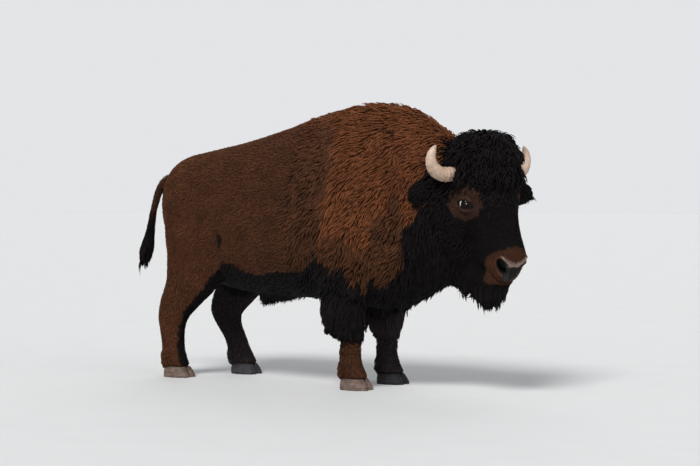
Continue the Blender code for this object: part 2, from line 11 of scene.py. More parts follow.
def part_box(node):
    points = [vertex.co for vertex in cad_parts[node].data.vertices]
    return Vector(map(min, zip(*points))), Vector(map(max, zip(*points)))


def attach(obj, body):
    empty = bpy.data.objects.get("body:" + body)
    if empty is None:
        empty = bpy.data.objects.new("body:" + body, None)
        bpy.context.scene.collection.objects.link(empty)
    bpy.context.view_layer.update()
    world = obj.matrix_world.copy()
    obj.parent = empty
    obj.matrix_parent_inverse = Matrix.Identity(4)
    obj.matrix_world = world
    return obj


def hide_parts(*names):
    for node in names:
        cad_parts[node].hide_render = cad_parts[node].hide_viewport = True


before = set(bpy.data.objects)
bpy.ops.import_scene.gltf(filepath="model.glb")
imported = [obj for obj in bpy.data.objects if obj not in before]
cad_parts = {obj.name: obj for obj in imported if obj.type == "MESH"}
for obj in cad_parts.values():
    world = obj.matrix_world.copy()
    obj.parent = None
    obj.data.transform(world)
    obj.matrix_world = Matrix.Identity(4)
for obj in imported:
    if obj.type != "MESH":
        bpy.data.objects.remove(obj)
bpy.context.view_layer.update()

# ------ places, from the frame

UP = np.array([0.0, 0.0, 1.0])
SIDES = {"left": 1, "right": -1}


def middle(node):
    low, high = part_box(node)
    return np.array((low + high) / 2)


def unit(v):
    v = np.asarray(v, float)
    return v / np.maximum(np.linalg.norm(v, axis=-1, keepdims=True), 1e-9)


FRONT_HOOF = (middle("claw_front_right_inner") + middle("claw_front_right_outer")) / 2
HOOF_X = FRONT_HOOF[0] - 0.010  # X of the front hooves: markings are laid out from there
BETWEEN_FEET = -0.6  # from HOOF_X: what is ahead of it belongs to the front legs
TRACK = abs(FRONT_HOOF[1])
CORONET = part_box("claw_front_right_inner")[1].z
HIND_HOOVES = [middle(f"claw_hind_{side}_outer")[0] - HOOF_X for side in SIDES]

EYES = {side: middle(f"eye_{side}") for side in SIDES}
EYE_SIZE = (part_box("eye_left")[1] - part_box("eye_left")[0]).z / 2
LEFT = unit(EYES["left"] - EYES["right"])
AHEAD = np.cross(LEFT, UP)
FACE_PITCH = math.radians(61)
NOSEWARDS = AHEAD * math.cos(FACE_PITCH) - UP * math.sin(FACE_PITCH)
OUTWARDS = AHEAD * math.sin(FACE_PITCH) + UP * math.cos(FACE_PITCH)
CROWN = (EYES["left"] + EYES["right"]) / 2 - NOSEWARDS * 0.180 + OUTWARDS * 0.038


def level_point(ahead, left, up):
    return CROWN + AHEAD * ahead + LEFT * left + UP * up


def face_parts(p):
    """Along the face, out of the brow, to the left: of each point."""
    q = p - CROWN
    return q @ NOSEWARDS, q @ OUTWARDS, q @ LEFT


def level_parts(p):
    """Level ahead, to the left and up, from between the horns: of each point."""
    q = p - CROWN
    return q @ AHEAD, q @ LEFT, q @ UP


# ------ small tools


def smooth(x, low, high):
    t = np.clip((x - low) / (high - low), 0.0, 1.0)
    return t * t * (3 - 2 * t)


def curve(x, *places):
    """A line through the places, read at x."""
    return np.interp(x, *zip(*places))


def wobble(p, size, seed):
    """A soft, repeatable noise from -1 to 1 over points, with lumps of about the given size."""
    rng = np.random.default_rng(seed)
    waves = unit(rng.normal(size=(7, 3))) * rng.uniform(0.7, 1.6, (7, 1)) * math.tau / (2 * size)
    phases = rng.uniform(0, math.tau, 7)
    return np.sin(p @ waves.T + phases).sum(axis=1) / 3.0


def read(items, name, width=1, kind=np.float32):
    """One property of all the points, edges or faces of a mesh, as an array."""
    values = np.empty(len(items) * width, kind)
    items.foreach_get(name, values)
    values = values.reshape(-1, width) if width > 1 else values
    return values.astype(float) if kind is np.float32 else values


def mesh_points(mesh):
    return read(mesh.vertices, "co", 3)


def mesh_normals(mesh):
    return read(mesh.vertex_normals, "vector", 3)


def set_points(mesh, points):
    mesh.vertices.foreach_set("co", np.asarray(points, np.float32).ravel())
    mesh.update()


def mesh_edges(mesh):
    return read(mesh.edges, "vertices", 2, np.int32)


def triangles(mesh):
    mesh.calc_loop_triangles()
    return read(mesh.loop_triangles, "vertices", 3, np.int32)


def mesh_of(bm, name):
    mesh = bpy.data.meshes.new(name)
    bm.to_mesh(mesh)
    bm.free()
    return mesh


def set_uv(mesh, name, uv):
    layer = mesh.uv_layers.new(name=name)
    layer.data.foreach_set("uv", uv.astype(np.float32).ravel())


def set_attribute(mesh, name, kind, values):
    layer = mesh.attributes.new(name, kind, "POINT")
    if kind == "FLOAT_COLOR":
        rgba = np.ones((len(values), 4), np.float32)
        rgba[:, :3] = values
        layer.data.foreach_set("color", rgba.ravel())
    else:
        layer.data.foreach_set("value", np.asarray(values, np.float32))


def add_object(name, mesh):
    obj = bpy.data.objects.new(name, mesh)
    bpy.context.scene.collection.objects.link(obj)
    return obj


def remeshed(mesh, size, name):
    """The mesh rebuilt as one closed surface on voxels of the given size."""
    obj = add_object(name, mesh)
    fuse = obj.modifiers.new("fuse", "REMESH")
    fuse.mode = "VOXEL"
    fuse.voxel_size = size
    graph = bpy.context.evaluated_depsgraph_get()
    made = bpy.data.meshes.new_from_object(obj.evaluated_get(graph))
    made.name = name
    bpy.data.objects.remove(obj)
    return made


def relaxed(points, edges, rounds, share=0.5, weight=None):
    """Moves each point towards the mean of its neighbours."""
    count = np.bincount(edges.ravel(), minlength=len(points)).astype(float)[:, None]
    for _ in range(rounds):
        total = np.zeros_like(points)
        for k in range(points.shape[1]):
            total[:, k] = np.bincount(edges[:, 0], points[edges[:, 1], k], len(points))
            total[:, k] += np.bincount(edges[:, 1], points[edges[:, 0], k], len(points))
        step = (total / np.maximum(count, 1) - points) * share
        points = points + (step if weight is None else step * weight)
    return points


def largest_island(mesh):
    edges = mesh_edges(mesh)
    label = np.arange(len(mesh.vertices))
    while True:
        low = np.minimum(label[edges[:, 0]], label[edges[:, 1]])
        new = label.copy()
        np.minimum.at(new, edges[:, 0], low)
        np.minimum.at(new, edges[:, 1], low)
        new = new[new]
        if (new == label).all():
            break
        label = new
    keep = label == np.bincount(label).argmax()
    bm = bmesh.new()
    bm.from_mesh(mesh)
    bmesh.ops.delete(bm, geom=[v for v in bm.verts if not keep[v.index]], context="VERTS")
    bm.to_mesh(mesh)
    bm.free()


def nearest(tree, points):
    """For each point, the nearest place on the tree: place, normal and face."""
    place = np.empty((len(points), 3))
    normal = np.empty((len(points), 3))
    face = np.empty(len(points), np.int64)
    find = tree.find_nearest
    for i, p in enumerate(points.tolist()):
        place[i], normal[i], face[i], _ = find(p)
    return place, normal, face


# ------ regions of the coat

# region: coat depth, hair length, hair width, spacing (all metres), how freely it hangs, curl, clumping
COATS = {
    "rear": (0.009, 0.034, 0.0080, 0.0106, 0.0, 0.002, 0.35),
    "cape": (0.020, 0.068, 0.0108, 0.0130, 0.1, 0.005, 0.55),
    "bonnet": (0.026, 0.085, 0.0125, 0.0118, 0.2, 0.016, 0.60),
    "head": (0.018, 0.048, 0.0085, 0.0106, 0.1, 0.004, 0.45),
    "beard": (0.016, 0.120, 0.0105, 0.0100, 0.9, 0.007, 0.82),
    "chaps": (0.015, 0.130, 0.0110, 0.0115, 0.8, 0.006, 0.82),
    "shank": (0.006, 0.026, 0.0064, 0.0096, 0.0, 0.001, 0.35),
    "thigh": (0.008, 0.032, 0.0076, 0.0108, 0.0, 0.002, 0.35),
    "tail": (0.005, 0.036, 0.0062, 0.0090, 0.0, 0.001, 0.30),
    "tuft": (0.010, 0.110, 0.0090, 0.0085, 0.7, 0.005, 0.50),
    "ear": (0.010, 0.060, 0.0080, 0.0085, 0.35, 0.006, 0.50),
}
REGIONS = list(COATS)
# region: the name of its pieces of coat
PIECES = {"rear": "trunk", "chaps": "front_legs", "shank": "shanks"}
PIECES |= {"thigh": "thighs", "tuft": "tail", "ear": "ears"}
SLOTS = dict.fromkeys(("trunk", "shanks", "thighs", "tail"), "short_coat") | {"cape": "cape_coat"}
FLESH = {"barrel": "rear", "hindquarters": "rear", "shoulders": "cape", "neck": "cape", "bonnet": "bonnet"}
FLESH |= {"head": "head", "beard": "beard", "tail": "tail", "tail_tuft": "tuft"}
FLESH |= {"ear_left": "ear", "ear_right": "ear"}
for side in SIDES:
    FLESH |= {f"front_leg_{side}_upper": "chaps", f"front_leg_{side}_lower": "shank"}
    FLESH |= {f"hind_leg_{side}_upper": "thigh", f"hind_leg_{side}_lower": "shank"}


def kinds(weights):
    return {name: weights[:, i] for i, name in enumerate(REGIONS)}


def take(bm, points, faces, grow=0.0):
    """Adds the points and faces of a form to the lists, grown along its normals."""
    start = len(points)
    points += [v.co + v.normal * grow for v in bm.verts]
    faces += [[v.index + start for v in f.verts] for f in bm.faces]
    bm.free()


def cad_flesh():
    """The CAD nodes of flesh as points, triangles and the region of each triangle."""
    points, faces, region = [], [], []
    for node, kind in FLESH.items():
        bm = bmesh.new()
        bm.from_mesh(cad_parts[node].data)
        bmesh.ops.remove_doubles(bm, verts=bm.verts, dist=1e-5)
        bmesh.ops.triangulate(bm, faces=bm.faces)
        bm.normal_update()
        region += [REGIONS.index(kind)] * len(bm.faces)
        take(bm, points, faces, 0.001)
    return points, faces, np.array(region)


def add_plugs(points, faces):
    """Adds balls that fill the sockets of the eyes and of the horns' roots."""
    places = [(EYES[side], EYE_SIZE + 0.001) for side in SIDES]
    places += [(level_point(-0.020, sign * out, -0.002), 0.048) for sign in (-1, 1) for out in (0.12, 0.155)]
    for centre, radius in places:
        bm = bmesh.new()
        bmesh.ops.create_icosphere(bm, subdivisions=3, radius=radius, matrix=Matrix.Translation(centre))
        take(bm, points, faces)


# ------ markings and painted light and shade, shared by skin and coat

CAPE = (0.145, 0.0475, 0.0175)
FLANK = (0.090, 0.0335, 0.0150)
DARK_FLANK = (0.070, 0.0275, 0.0125)
RUMP = (0.108, 0.0400, 0.0170)
UNDER_CAPE = (0.080, 0.0305, 0.0130)
BLACK = (0.0062, 0.0047, 0.0047)
PATCH = (0.059, 0.0285, 0.0180)
MUZZLE = (0.078, 0.0312, 0.0158)
NOSTRIL_RING = (0.105, 0.042, 0.023)
# painted shade in the nostrils
NOSTRIL_SHADE = (0.0030, 0.0022, 0.0022)
# lighter than the black: painted light on the shaded far legs
FAR_LEGS_PAINTED_LIGHT = (0.026, 0.0195, 0.0205)
NOSE = (0.0095, 0.0058, 0.0054)
# a painted highlight along the nose pad's upper edge
NOSE_HIGHLIGHT = (0.370, 0.250, 0.200)
EYELID = (0.0016, 0.0012, 0.0011)
# painted shade for the fold before the thigh and for a parting in the cape
CREASE_SHADE = (0.016, 0.008, 0.006)
HOOF = (0.150, 0.103, 0.082)
# painted shade: the far claws, on the left, are darker
FAR_HOOVES_SHADED = {"front_left": (0.013, 0.0125, 0.0145), "hind_left": (0.034, 0.032, 0.037)}


def body_parts(p):
    """X from the front hooves, Y and Z."""
    return p[:, 0] - HOOF_X, p[:, 1], p[:, 2]


def mane_line(p):
    """How far a point is inside the black mane, in metres: ahead of and below a jagged border."""
    x, _, z = body_parts(p)
    border = curve(
        z, (0.50, 0.10), (0.60, 0.22), (0.69, 0.325), (0.77, 0.36), (0.89, 0.386), (0.96, 0.405),
        (1.01, 0.435), (1.06, 0.475), (1.11, 0.520), (1.20, 0.56), (1.30, 0.60),
    )
    return x - border + 0.018 * wobble(p, 0.05, 3)


def cape_hem(x):
    """The height of the cape's jagged lower edge."""
    return curve(
        x, (-0.20, 0.66), (-0.17, 0.645), (-0.13, 0.69), (-0.08, 0.735), (0.007, 0.748), (0.035, 0.612),
        (0.06, 0.64), (0.088, 0.655), (0.098, 0.58), (0.178, 0.703), (0.20, 0.645), (0.24, 0.628),
        (0.32, 0.69), (0.45, 0.75),
    )


def cape_line(p):
    """How far a point is inside the brown cape: ahead of its rear edge and above its hem."""
    x, _, z = body_parts(p)
    rear = curve(
        z, (0.60, -0.175), (0.66, -0.172), (0.80, -0.155), (0.92, -0.125), (1.00, -0.130), (1.26, -0.125),
        (1.36, -0.112), (1.48, -0.150), (1.59, -0.195), (1.66, -0.245), (1.76, -0.300),
    )
    return np.minimum(x - rear + 0.010 * wobble(p, 0.05, 5), (z - cape_hem(x)) * 1.2)


def upper_cape_line(p):
    """How far a point is above the hem of the cape's light upper layer."""
    x, _, z = body_parts(p)
    hem = curve(
        x, (-0.16, 0.90), (-0.11, 0.895), (-0.053, 0.965), (-0.02, 0.885), (0.006, 0.935), (0.07, 0.855),
        (0.185, 0.856), (0.205, 0.95), (0.222, 1.02), (0.26, 1.06), (0.30, 1.035), (0.316, 1.23),
        (0.353, 1.156), (0.40, 1.05), (0.416, 0.945), (0.45, 0.90),
    )
    return z - hem + 0.008 * wobble(p, 0.05, 6)


def belly_line(p):
    """How far a point is below the border of the black belly."""
    x, _, z = body_parts(p)
    border = curve(
        x, (-1.05, 0.60), (-1.00, 0.70), (-0.96, 0.745), (-0.85, 0.73), (-0.776, 0.702), (-0.674, 0.68),
        (-0.52, 0.696), (-0.33, 0.715), (-0.24, 0.755), (-0.20, 0.80), (-0.175, 0.875), (-0.155, 0.79),
        (-0.13, 0.74),
    )
    return border - z + 0.006 * wobble(p, 0.08, 8)


def leg_shaded_side(p):
    """1 on the inner, shaded side of the legs, 0 on the outer side. The painted shade there reaches further
    round on the left, the far side.
    """
    x, y, _ = body_parts(p)
    right = np.where(x > BETWEEN_FEET, TRACK - 0.040, TRACK - 0.015)
    edge = np.where(y > 0, TRACK + 0.042, right)
    return smooth(edge - np.abs(y), -0.012, 0.012)


def shin_line(p):
    """How far a point is ahead of the border of the black down the front of a hind leg."""
    x, y, z = body_parts(p)
    border = curve(
        z, (0.07, -1.310), (0.11, -1.330), (0.20, -1.350), (0.33, -1.340), (0.42, -1.292), (0.50, -1.205),
        (0.60, -1.100), (0.667, -1.048), (0.753, -0.955),
    )
    stride = curve(z, (0.10, 0.243), (0.25, 0.205), (0.40, 0.135), (0.60, 0.110))
    return x - border - stride * (y > 0) + 0.004 * wobble(p, 0.03, 15)


def muzzle_edge(p):
    """How far a point is inside the brown of the muzzle: below its top edge, ahead of its rear edge."""
    ahead, left, up = level_parts(p)
    top, rear, foot = -0.432 - up - 2.5 * left**2, ahead - 0.118, up + 0.654

    def corner(first, second, radius):
        one, two = radius - first, radius - second
        past = np.hypot(np.maximum(one, 0), np.maximum(two, 0))
        return radius - past - np.minimum(np.maximum(one, two), 0)

    return np.minimum(corner(rear, top, 0.140), corner(rear, foot, 0.045)) + 0.003 * wobble(p, 0.03, 9)


def muzzle_share(p):
    edge = muzzle_edge(p)
    return smooth(edge, -0.005, 0.006) * (0.82 + 0.18 * smooth(edge, 0.008, 0.035))


def nose_edge(p):
    """How far a point is inside the upper edge of the bare nose pad."""
    a, _, l = face_parts(p)
    return a - 0.601 + 4.7 * l**2 + 0.0015 * wobble(p, 0.012, 14)


def nose_share(p):
    """The bare pad between the nostrils, narrower towards the lip."""
    _, o, l = face_parts(p)
    aside = np.maximum(0.097 + 0.55 * np.minimum(o, 0), 0.047) - np.abs(l)
    return smooth(nose_edge(p), -0.002, 0.003) * smooth(aside, -0.003, 0.003) * smooth(o, -0.124, -0.118)


# along the face, out of the brow, to the side, and three radii, of the parts of a comma-shaped nostril
NOSTRIL = (
    (0.587, -0.014, 0.096, 0.024, 0.022, 0.021),
    (0.595, -0.026, 0.089, 0.026, 0.024, 0.021),
    (0.604, -0.039, 0.078, 0.028, 0.024, 0.020),
    (0.612, -0.051, 0.066, 0.030, 0.021, 0.019),
    (0.619, -0.061, 0.055, 0.030, 0.018, 0.017),
)
NOSTRIL_BLEND = 2.2  # higher keeps the parts more apart


def nostril_shape(p):
    """Under 1 within a nostril: its parts run together."""
    a, o, l = face_parts(p)
    total = np.zeros(len(p))
    for along, out, aside, ra, ro, rl in NOSTRIL:
        q = ((a - along) / ra) ** 2 + ((o - out) / ro) ** 2 + ((np.abs(l) - aside) / rl) ** 2
        total += np.exp(-NOSTRIL_BLEND * np.minimum(q, 60))
    return -np.log(np.maximum(total, 1e-9)) / NOSTRIL_BLEND


def nostril_way(p):
    """Into the nostril of each point's own side."""
    side = np.sign(face_parts(p)[2])
    return unit(-(NOSEWARDS * 0.66 - OUTWARDS * 0.10 + LEFT * (0.60 * side)[:, None]))


def nostril_dark(p):
    """1 in and behind the opening of a nostril, where its inside is laid with painted shade."""
    way = nostril_way(p)
    shape = np.minimum.reduce([nostril_shape(p - way * back) for back in (0.0, 0.012, 0.024, 0.036)])
    return smooth(shape, 1.20, 0.90)


def eye_distance(p):
    return np.minimum(*[np.linalg.norm(p - EYES[s], axis=1) for s in EYES])


def markings_and_painted_light(p, weights):
    """The colour of skin and coat at each point: markings, with painted shade in places and a painted
    highlight on the nose.
    """
    x, y, z = body_parts(p)
    _, o, _ = face_parts(p)
    ahead, _, up = level_parts(p)
    kind = kinds(weights)
    face = kind["head"] > 0.3
    colour = np.array(FLANK) + np.zeros_like(p)

    def lay(tint, share):
        nonlocal colour
        share = np.asarray(share, float).reshape(-1, 1)
        colour = colour * (1 - share) + np.array(tint) * share

    # the trunk: rump, ridge of the back, darker flank, and painted shade in the fold before the thigh
    lay(RUMP, smooth(-x, 0.85, 1.25) * (0.65 + 0.35 * wobble(p, 0.20, 12)))
    lay(RUMP, 0.5 * smooth(wobble(p, 0.16, 13), 0.3, 0.9))
    ridge = smooth(0.115 - np.abs(y), 0.0, 0.05) * smooth(x, -0.80, -0.45) * (z > 1.3)
    lay(CAPE, 0.55 * ridge)
    lay(DARK_FLANK, 0.75 * smooth(x, -0.70, -0.25) * smooth(1.50 - z, 0.0, 0.3))
    bow = x + 0.940 + 8.0 * (z - 0.893) ** 2
    lay(CREASE_SHADE, smooth(0.018 * smooth(0.085 - np.abs(z - 0.893), 0.0, 0.08) - np.abs(bow), -0.003, 0.003))
    # the cape in two layers, and painted shade along a parting high on the right of the hump
    lay(UNDER_CAPE, smooth(cape_line(p), -0.004, 0.008))
    lay(CAPE, smooth(np.minimum(cape_line(p), upper_cape_line(p)), -0.004, 0.010))
    parting = z - 1.581 + 0.60 * (x - 0.158)
    gap = 0.010 * smooth(0.075 - np.abs(x - 0.235), 0.0, 0.06)
    lay(CREASE_SHADE, 0.8 * smooth(gap - np.abs(parting), -0.003, 0.003) * (y < 0))
    # the black of belly, mane and legs; on the belly and the inner sides of the legs it is partly painted
    # shade
    body = kind["rear"] + kind["cape"] + kind["chaps"] + kind["thigh"]
    lay(BLACK, smooth(belly_line(p), -0.006, 0.006) * smooth(-x, 0.0, 0.12) * smooth(x, -1.10, -1.02) * body)
    below_hem = smooth(cape_hem(x) - z, -0.006, 0.006) * smooth(x, -0.180, -0.165) * (z < 0.80) * (z > 0.30)
    lay(BLACK, below_hem * body)
    lay(BLACK, smooth(mane_line(p), -0.008, 0.008) * smooth(z, 0.40, 0.46))
    # painted shade: the inner sides of the legs are laid black
    legs = smooth(0.80 - z, 0.0, 0.10) * smooth(-x, 0.90, 1.0) + (kind["shank"] + kind["chaps"])
    lay(BLACK, np.clip(legs, 0, 1) * leg_shaded_side(p))
    lay(BLACK, smooth(shin_line(p), -0.006, 0.006) * smooth(0.75 - z, 0.0, 0.03) * smooth(-x, 0.80, 0.85))
    black = sum(kind[name] for name in ("bonnet", "head", "beard", "tuft", "ear"))
    nape = ahead - curve(
        up, (0.0, -0.06), (0.03, -0.097), (0.06, -0.128), (0.10, -0.16), (0.154, -0.188), (0.203, -0.214),
        (0.26, -0.24),
    )
    black = black * (1 - smooth(-nape, -0.006, 0.006) * smooth(up, 0.0, 0.02))
    black = black + kind["chaps"] * smooth(z + 0.012 * wobble(p, 0.02, 16), 0.286, 0.296)
    lay(BLACK, smooth(black, 0.25, 0.75))
    # painted light: the inner sides of the far legs, which lie in shade, are laid lighter
    far = (kind["shank"] + kind["thigh"] + kind["chaps"]) * (y > 0) * smooth(0.75 - z, 0.0, 0.1)
    lay(FAR_LEGS_PAINTED_LIGHT, np.clip(far, 0, 1) * leg_shaded_side(p))
    lay(BLACK, smooth(kind["tail"] + kind["tuft"], 0.3, 0.7) * (0.45 + 0.55 * smooth(1.12 - z, 0.0, 0.16)))
    # the face
    lay(PATCH, smooth(eye_distance(p) + 0.008 * wobble(p, 0.03, 10), 0.112, 0.098) * face)
    lay(MUZZLE, muzzle_share(p) * np.clip(kind["head"] + kind["beard"], 0, 1))
    lay(NOSTRIL_RING, 0.6 * smooth(nostril_shape(p), 3.6, 2.0) * face)
    lay(NOSE, nose_share(p))
    # painted highlight along the upper edge of the nose pad
    lay(NOSE_HIGHLIGHT, 0.85 * nose_share(p) * smooth(nose_edge(p), 0.024, 0.017) * smooth(o, -0.030, -0.020))
    # painted shade in and behind the nostril openings
    lay(NOSTRIL_SHADE, nostril_dark(p))
    return colour


# ------ the lie of the coat


def lie(p, n, weights):
    """Unit vectors along the skin in the direction in which the hair lies."""
    x, _, z = body_parts(p)
    ahead, left, up = level_parts(p)
    side = np.sign(left)[:, None]

    def field(fx, fy, fz):
        return np.stack([f + np.zeros(len(p)) for f in (fx, fy, fz)], axis=1)

    rear = field(-1.0, 0.0, -0.12 - 0.55 * smooth(1.45 - z, 0.0, 0.6))
    rear += field(0.6, 0, -1.0) * smooth(-x, 1.25, 1.45)[:, None]
    cape = field(-0.75, 0.0, -0.25 - 1.1 * smooth(1.70 - z, 0.0, 0.5))
    cape += field(0.45, 0, -0.2) * smooth(mane_line(p), -0.02, 0.05)[:, None]
    radial = p - level_point(-0.03, 0.0, 0.0)
    radial[:, 2] = 0
    bonnet = unit(radial) - UP * (0.25 + 1.2 * smooth(0.26 - up, 0.0, 0.20))[:, None]
    back = smooth(ahead, 0.16, 0.02)[:, None]
    front = LEFT * (0.45 * np.sign(left) * smooth(np.abs(left), 0.0, 0.05))[:, None] - UP * 0.9
    head = front * (1 - back) + (-AHEAD * 0.55 - UP) * back
    toward = smooth(eye_distance(p), 0.09, 0.05)[:, None]
    head = head * (1 - toward) + (-AHEAD * 0.8 - UP * 0.4 - LEFT * 0.2 * side) * toward
    tail = field(-0.35, 0.0, -1.0)
    found = {
        "rear": rear, "cape": cape, "bonnet": bonnet, "head": head, "beard": field(-0.1, 0, -1),
        "chaps": field(-0.22, 0, -1), "shank": field(-0.18, 0.0, -1.0), "thigh": tail, "tail": tail,
        "tuft": tail, "ear": LEFT * side - UP * 0.25,
    }
    flow = sum(weights[:, i : i + 1] * unit(found[name]) for i, name in enumerate(REGIONS))
    flow = flow - n * (flow * n).sum(1, keepdims=True)
    flow = unit(flow + 1e-6)
    swirl = 0.30 * wobble(p, 0.10, 21) + 0.15 * wobble(p, 0.035, 22)
    aside = np.cross(n, flow)
    return unit(flow * np.cos(swirl)[:, None] + aside * np.sin(swirl)[:, None])


# ------ skin

SKIN_VOXEL = 0.013
SHANK_TOP = 0.24  # the coat below is no deeper than SHANK_COAT
SHANK_COAT = 0.006
DRAWING_IN = 7  # steps in which the skin is drawn in


def self_ahead(x):
    """How far each point is ahead of the nearest foot."""
    gap = x[:, None] - np.array([0.0, *HIND_HOOVES])
    return gap[np.arange(len(x)), np.abs(gap).argmin(1)]


def coat_numbers(p, weights):
    """Depth, length, width, spacing, hang, curl and clumping of the coat at each point."""
    weights = np.clip(weights, 0, None)
    weights = weights / weights.sum(1, keepdims=True)
    numbers = weights @ np.array([COATS[name] for name in REGIONS])
    kind = kinds(weights)
    x, y, z = body_parts(p)
    a, o, _ = face_parts(p)
    ahead, _, up = level_parts(p)

    def turn(target, share):
        nonlocal numbers
        share = np.clip(share, 0, 1)[:, None]
        numbers = numbers * (1 - share) + np.array(target) * share

    mane = smooth(mane_line(p), -0.02, 0.06) * kind["cape"]
    turn((0.018, 0.115, 0.0108, 0.0122, 0.55, 0.007, 0.60), mane)
    hanging = smooth(mane_line(p), 0.0, 0.06) * kind["cape"] * smooth(0.80 - z, 0.0, 0.12)
    turn((0.012, 0.140, 0.0108, 0.0112, 0.85, 0.007, 0.82), hanging)
    hem = np.maximum(1 - np.abs(cape_line(p) - 0.03) / 0.06, 1 - np.abs(upper_cape_line(p) - 0.03) / 0.06)
    hem = smooth(hem, 0.0, 0.7) * kind["cape"] * (x > -0.3) * (1 - mane)
    turn((0.020, 0.120, 0.0115, 0.0125, 0.25, 0.005, 0.75), hem)
    turn((0.010, 0.055, 0.0090, 0.0118, 0.3, 0.003, 0.45), smooth(belly_line(p), -0.05, 0.03) * kind["rear"])
    tuft = smooth(0.56 - z, 0.0, 0.02) * smooth(np.abs(y), 0.09, 0.05) * (x < -0.5) * kind["rear"]
    turn((0.004, 0.075, 0.0085, 0.0085, 0.7, 0.003, 0.6), tuft)
    brow = smooth(a, 0.34, 0.10) * smooth(o, 0.00, 0.06) * kind["head"]
    turn((0.014, 0.080, 0.0110, 0.0112, 0.3, 0.010, 0.5), brow)
    jaw = smooth(up, -0.44, -0.56) * smooth(ahead, 0.10, 0.02) * kind["head"]
    turn((0.014, 0.120, 0.0105, 0.0105, 0.75, 0.007, 0.8), jaw)
    face = smooth(a, 0.10, 0.30) * smooth(o, -0.20, -0.10) * kind["head"] * (1 - brow) * (1 - jaw)
    turn((0.008, 0.026, 0.0060, 0.0078, 0.0, 0.001, 0.35), face)
    lids = smooth(eye_distance(p), 0.125, 0.10) * kind["head"]
    turn((0.005, 0.020, 0.0040, 0.0056, 0.0, 0.001, 0.30), lids)
    snout = smooth(a, 0.40, 0.47) * (kind["head"] + kind["beard"]) * smooth(up, -0.665, -0.645)
    turn((0.004, 0.018, 0.0036, 0.0052, 0.0, 0.0005, 0.25), snout)
    curtain = np.minimum(numbers[:, 1], np.clip(z - 0.285, 0.026, 0.130))
    numbers[:, 1] = np.where((kind["chaps"] > 0.4) & (x > BETWEEN_FEET), curtain, numbers[:, 1])
    heel = smooth(0.19 - z, 0.0, 0.03) * smooth(z, 0.075, 0.10) * smooth(-0.035 - self_ahead(x), 0.0, 0.02)
    turn((0.0260, 0.058, 0.0080, 0.0080, 0.3, 0.002, 0.75), heel * kind["shank"])
    turn((0.0030, 0.030, 0.0070, 0.0085, 0.3, 0.001, 0.4), smooth(0.115 - z, 0.0, 0.04) * (1 - heel))
    return numbers


def make_skin():
    """The skin: all the flesh fused, and drawn in by the depth of the coat."""
    points, faces, region = cad_flesh()
    cad_tree = BVHTree.FromPolygons(points, faces)
    add_plugs(points, faces)
    rough = bpy.data.meshes.new("rough")
    rough.from_pydata(points, [], faces)
    mesh = remeshed(rough, SKIN_VOXEL, "skin")
    largest_island(mesh)
    edges = mesh_edges(mesh)
    points = mesh_points(mesh)
    _, _, face = nearest(cad_tree, points)
    weights = relaxed(np.eye(len(REGIONS))[region[face]], edges, 3)
    depth = coat_numbers(points, weights)[:, :1]
    depth = relaxed(np.where(points[:, 2:] < SHANK_TOP, np.minimum(depth, SHANK_COAT), depth), edges, 4)
    for _ in range(DRAWING_IN):
        set_points(mesh, points)
        points = points - mesh_normals(mesh) * depth / DRAWING_IN
        points = relaxed(points, edges, 1, 0.5, np.clip(depth / 0.02, 0.1, 1.0))
    points[:, 2] = np.maximum(points[:, 2], CORONET - 0.002)
    set_points(mesh, points)
    return mesh, weights, cad_tree


def refine(mesh, weights, near, cuts=1):
    """Splits the faces whose points are all near, and carries the region weights along."""
    bm = bmesh.new()
    bm.from_mesh(mesh)
    layers = [bm.verts.layers.float.new(name) for name in REGIONS]
    for v, row in zip(bm.verts, weights.tolist()):
        for layer, value in zip(layers, row):
            v[layer] = value
    inside = near(mesh_points(mesh))
    edges = [e for e in bm.edges if inside[e.verts[0].index] and inside[e.verts[1].index]]
    bmesh.ops.subdivide_edges(bm, edges=edges, cuts=cuts, use_grid_fill=True, smooth=0.0)
    bm.verts.ensure_lookup_table()
    weights = np.array([[v[layer] for layer in layers] for v in bm.verts])
    for name in REGIONS:
        bm.verts.layers.float.remove(bm.verts.layers.float[name])
    bm.to_mesh(mesh)
    bm.free()
    points = mesh_points(mesh)
    soft = near(points).astype(float)[:, None]
    set_points(mesh, relaxed(points, mesh_edges(mesh), 3, 0.5, soft))
    return weights


def near_face(p):
    a, o, l = face_parts(p)
    return (a > 0.46) & (a < 0.70) & (np.abs(l) < 0.15) & (o > -0.19) | (eye_distance(p) < 0.092)


def near_eyes(p):
    return eye_distance(p) < 0.072


def near_nose(p):
    a, o, l = face_parts(p)
    return (a > 0.53) & (a < 0.68) & (np.abs(l) < 0.135) & (o > -0.14)


GAZE_AHEAD = 0.55  # how far the eyes look ahead, for each metre sideways
EYEBALL = EYE_SIZE * 0.93
OPENING = (0.0415, 0.0252)  # half length and half height of the eye's slit


def eye_axes(side):
    """The way the eye looks, along its slit towards the nose, and up across the slit."""
    gaze = unit(LEFT * SIDES[side] + AHEAD * GAZE_AHEAD - UP * 0.16)
    toward = AHEAD - UP * 0.27
    slit = unit(toward - gaze * (toward @ gaze))
    across = np.cross(gaze, slit)
    return gaze, slit, across if across @ UP > 0 else -across


def eye_middle(side):
    gaze, _, _ = eye_axes(side)
    return EYES[side] - gaze * 0.001 - UP * 0.009


def slit_shape(u, v, grow=0.0):
    """Under 1 within the almond between the lids, which may be grown."""
    lift = np.where(v > 0, 1.0, 0.86)
    return (np.abs(u) / (OPENING[0] + 2.2 * grow)) ** 1.6 + (np.abs(v) / ((OPENING[1] + grow) * lift)) ** 2.1


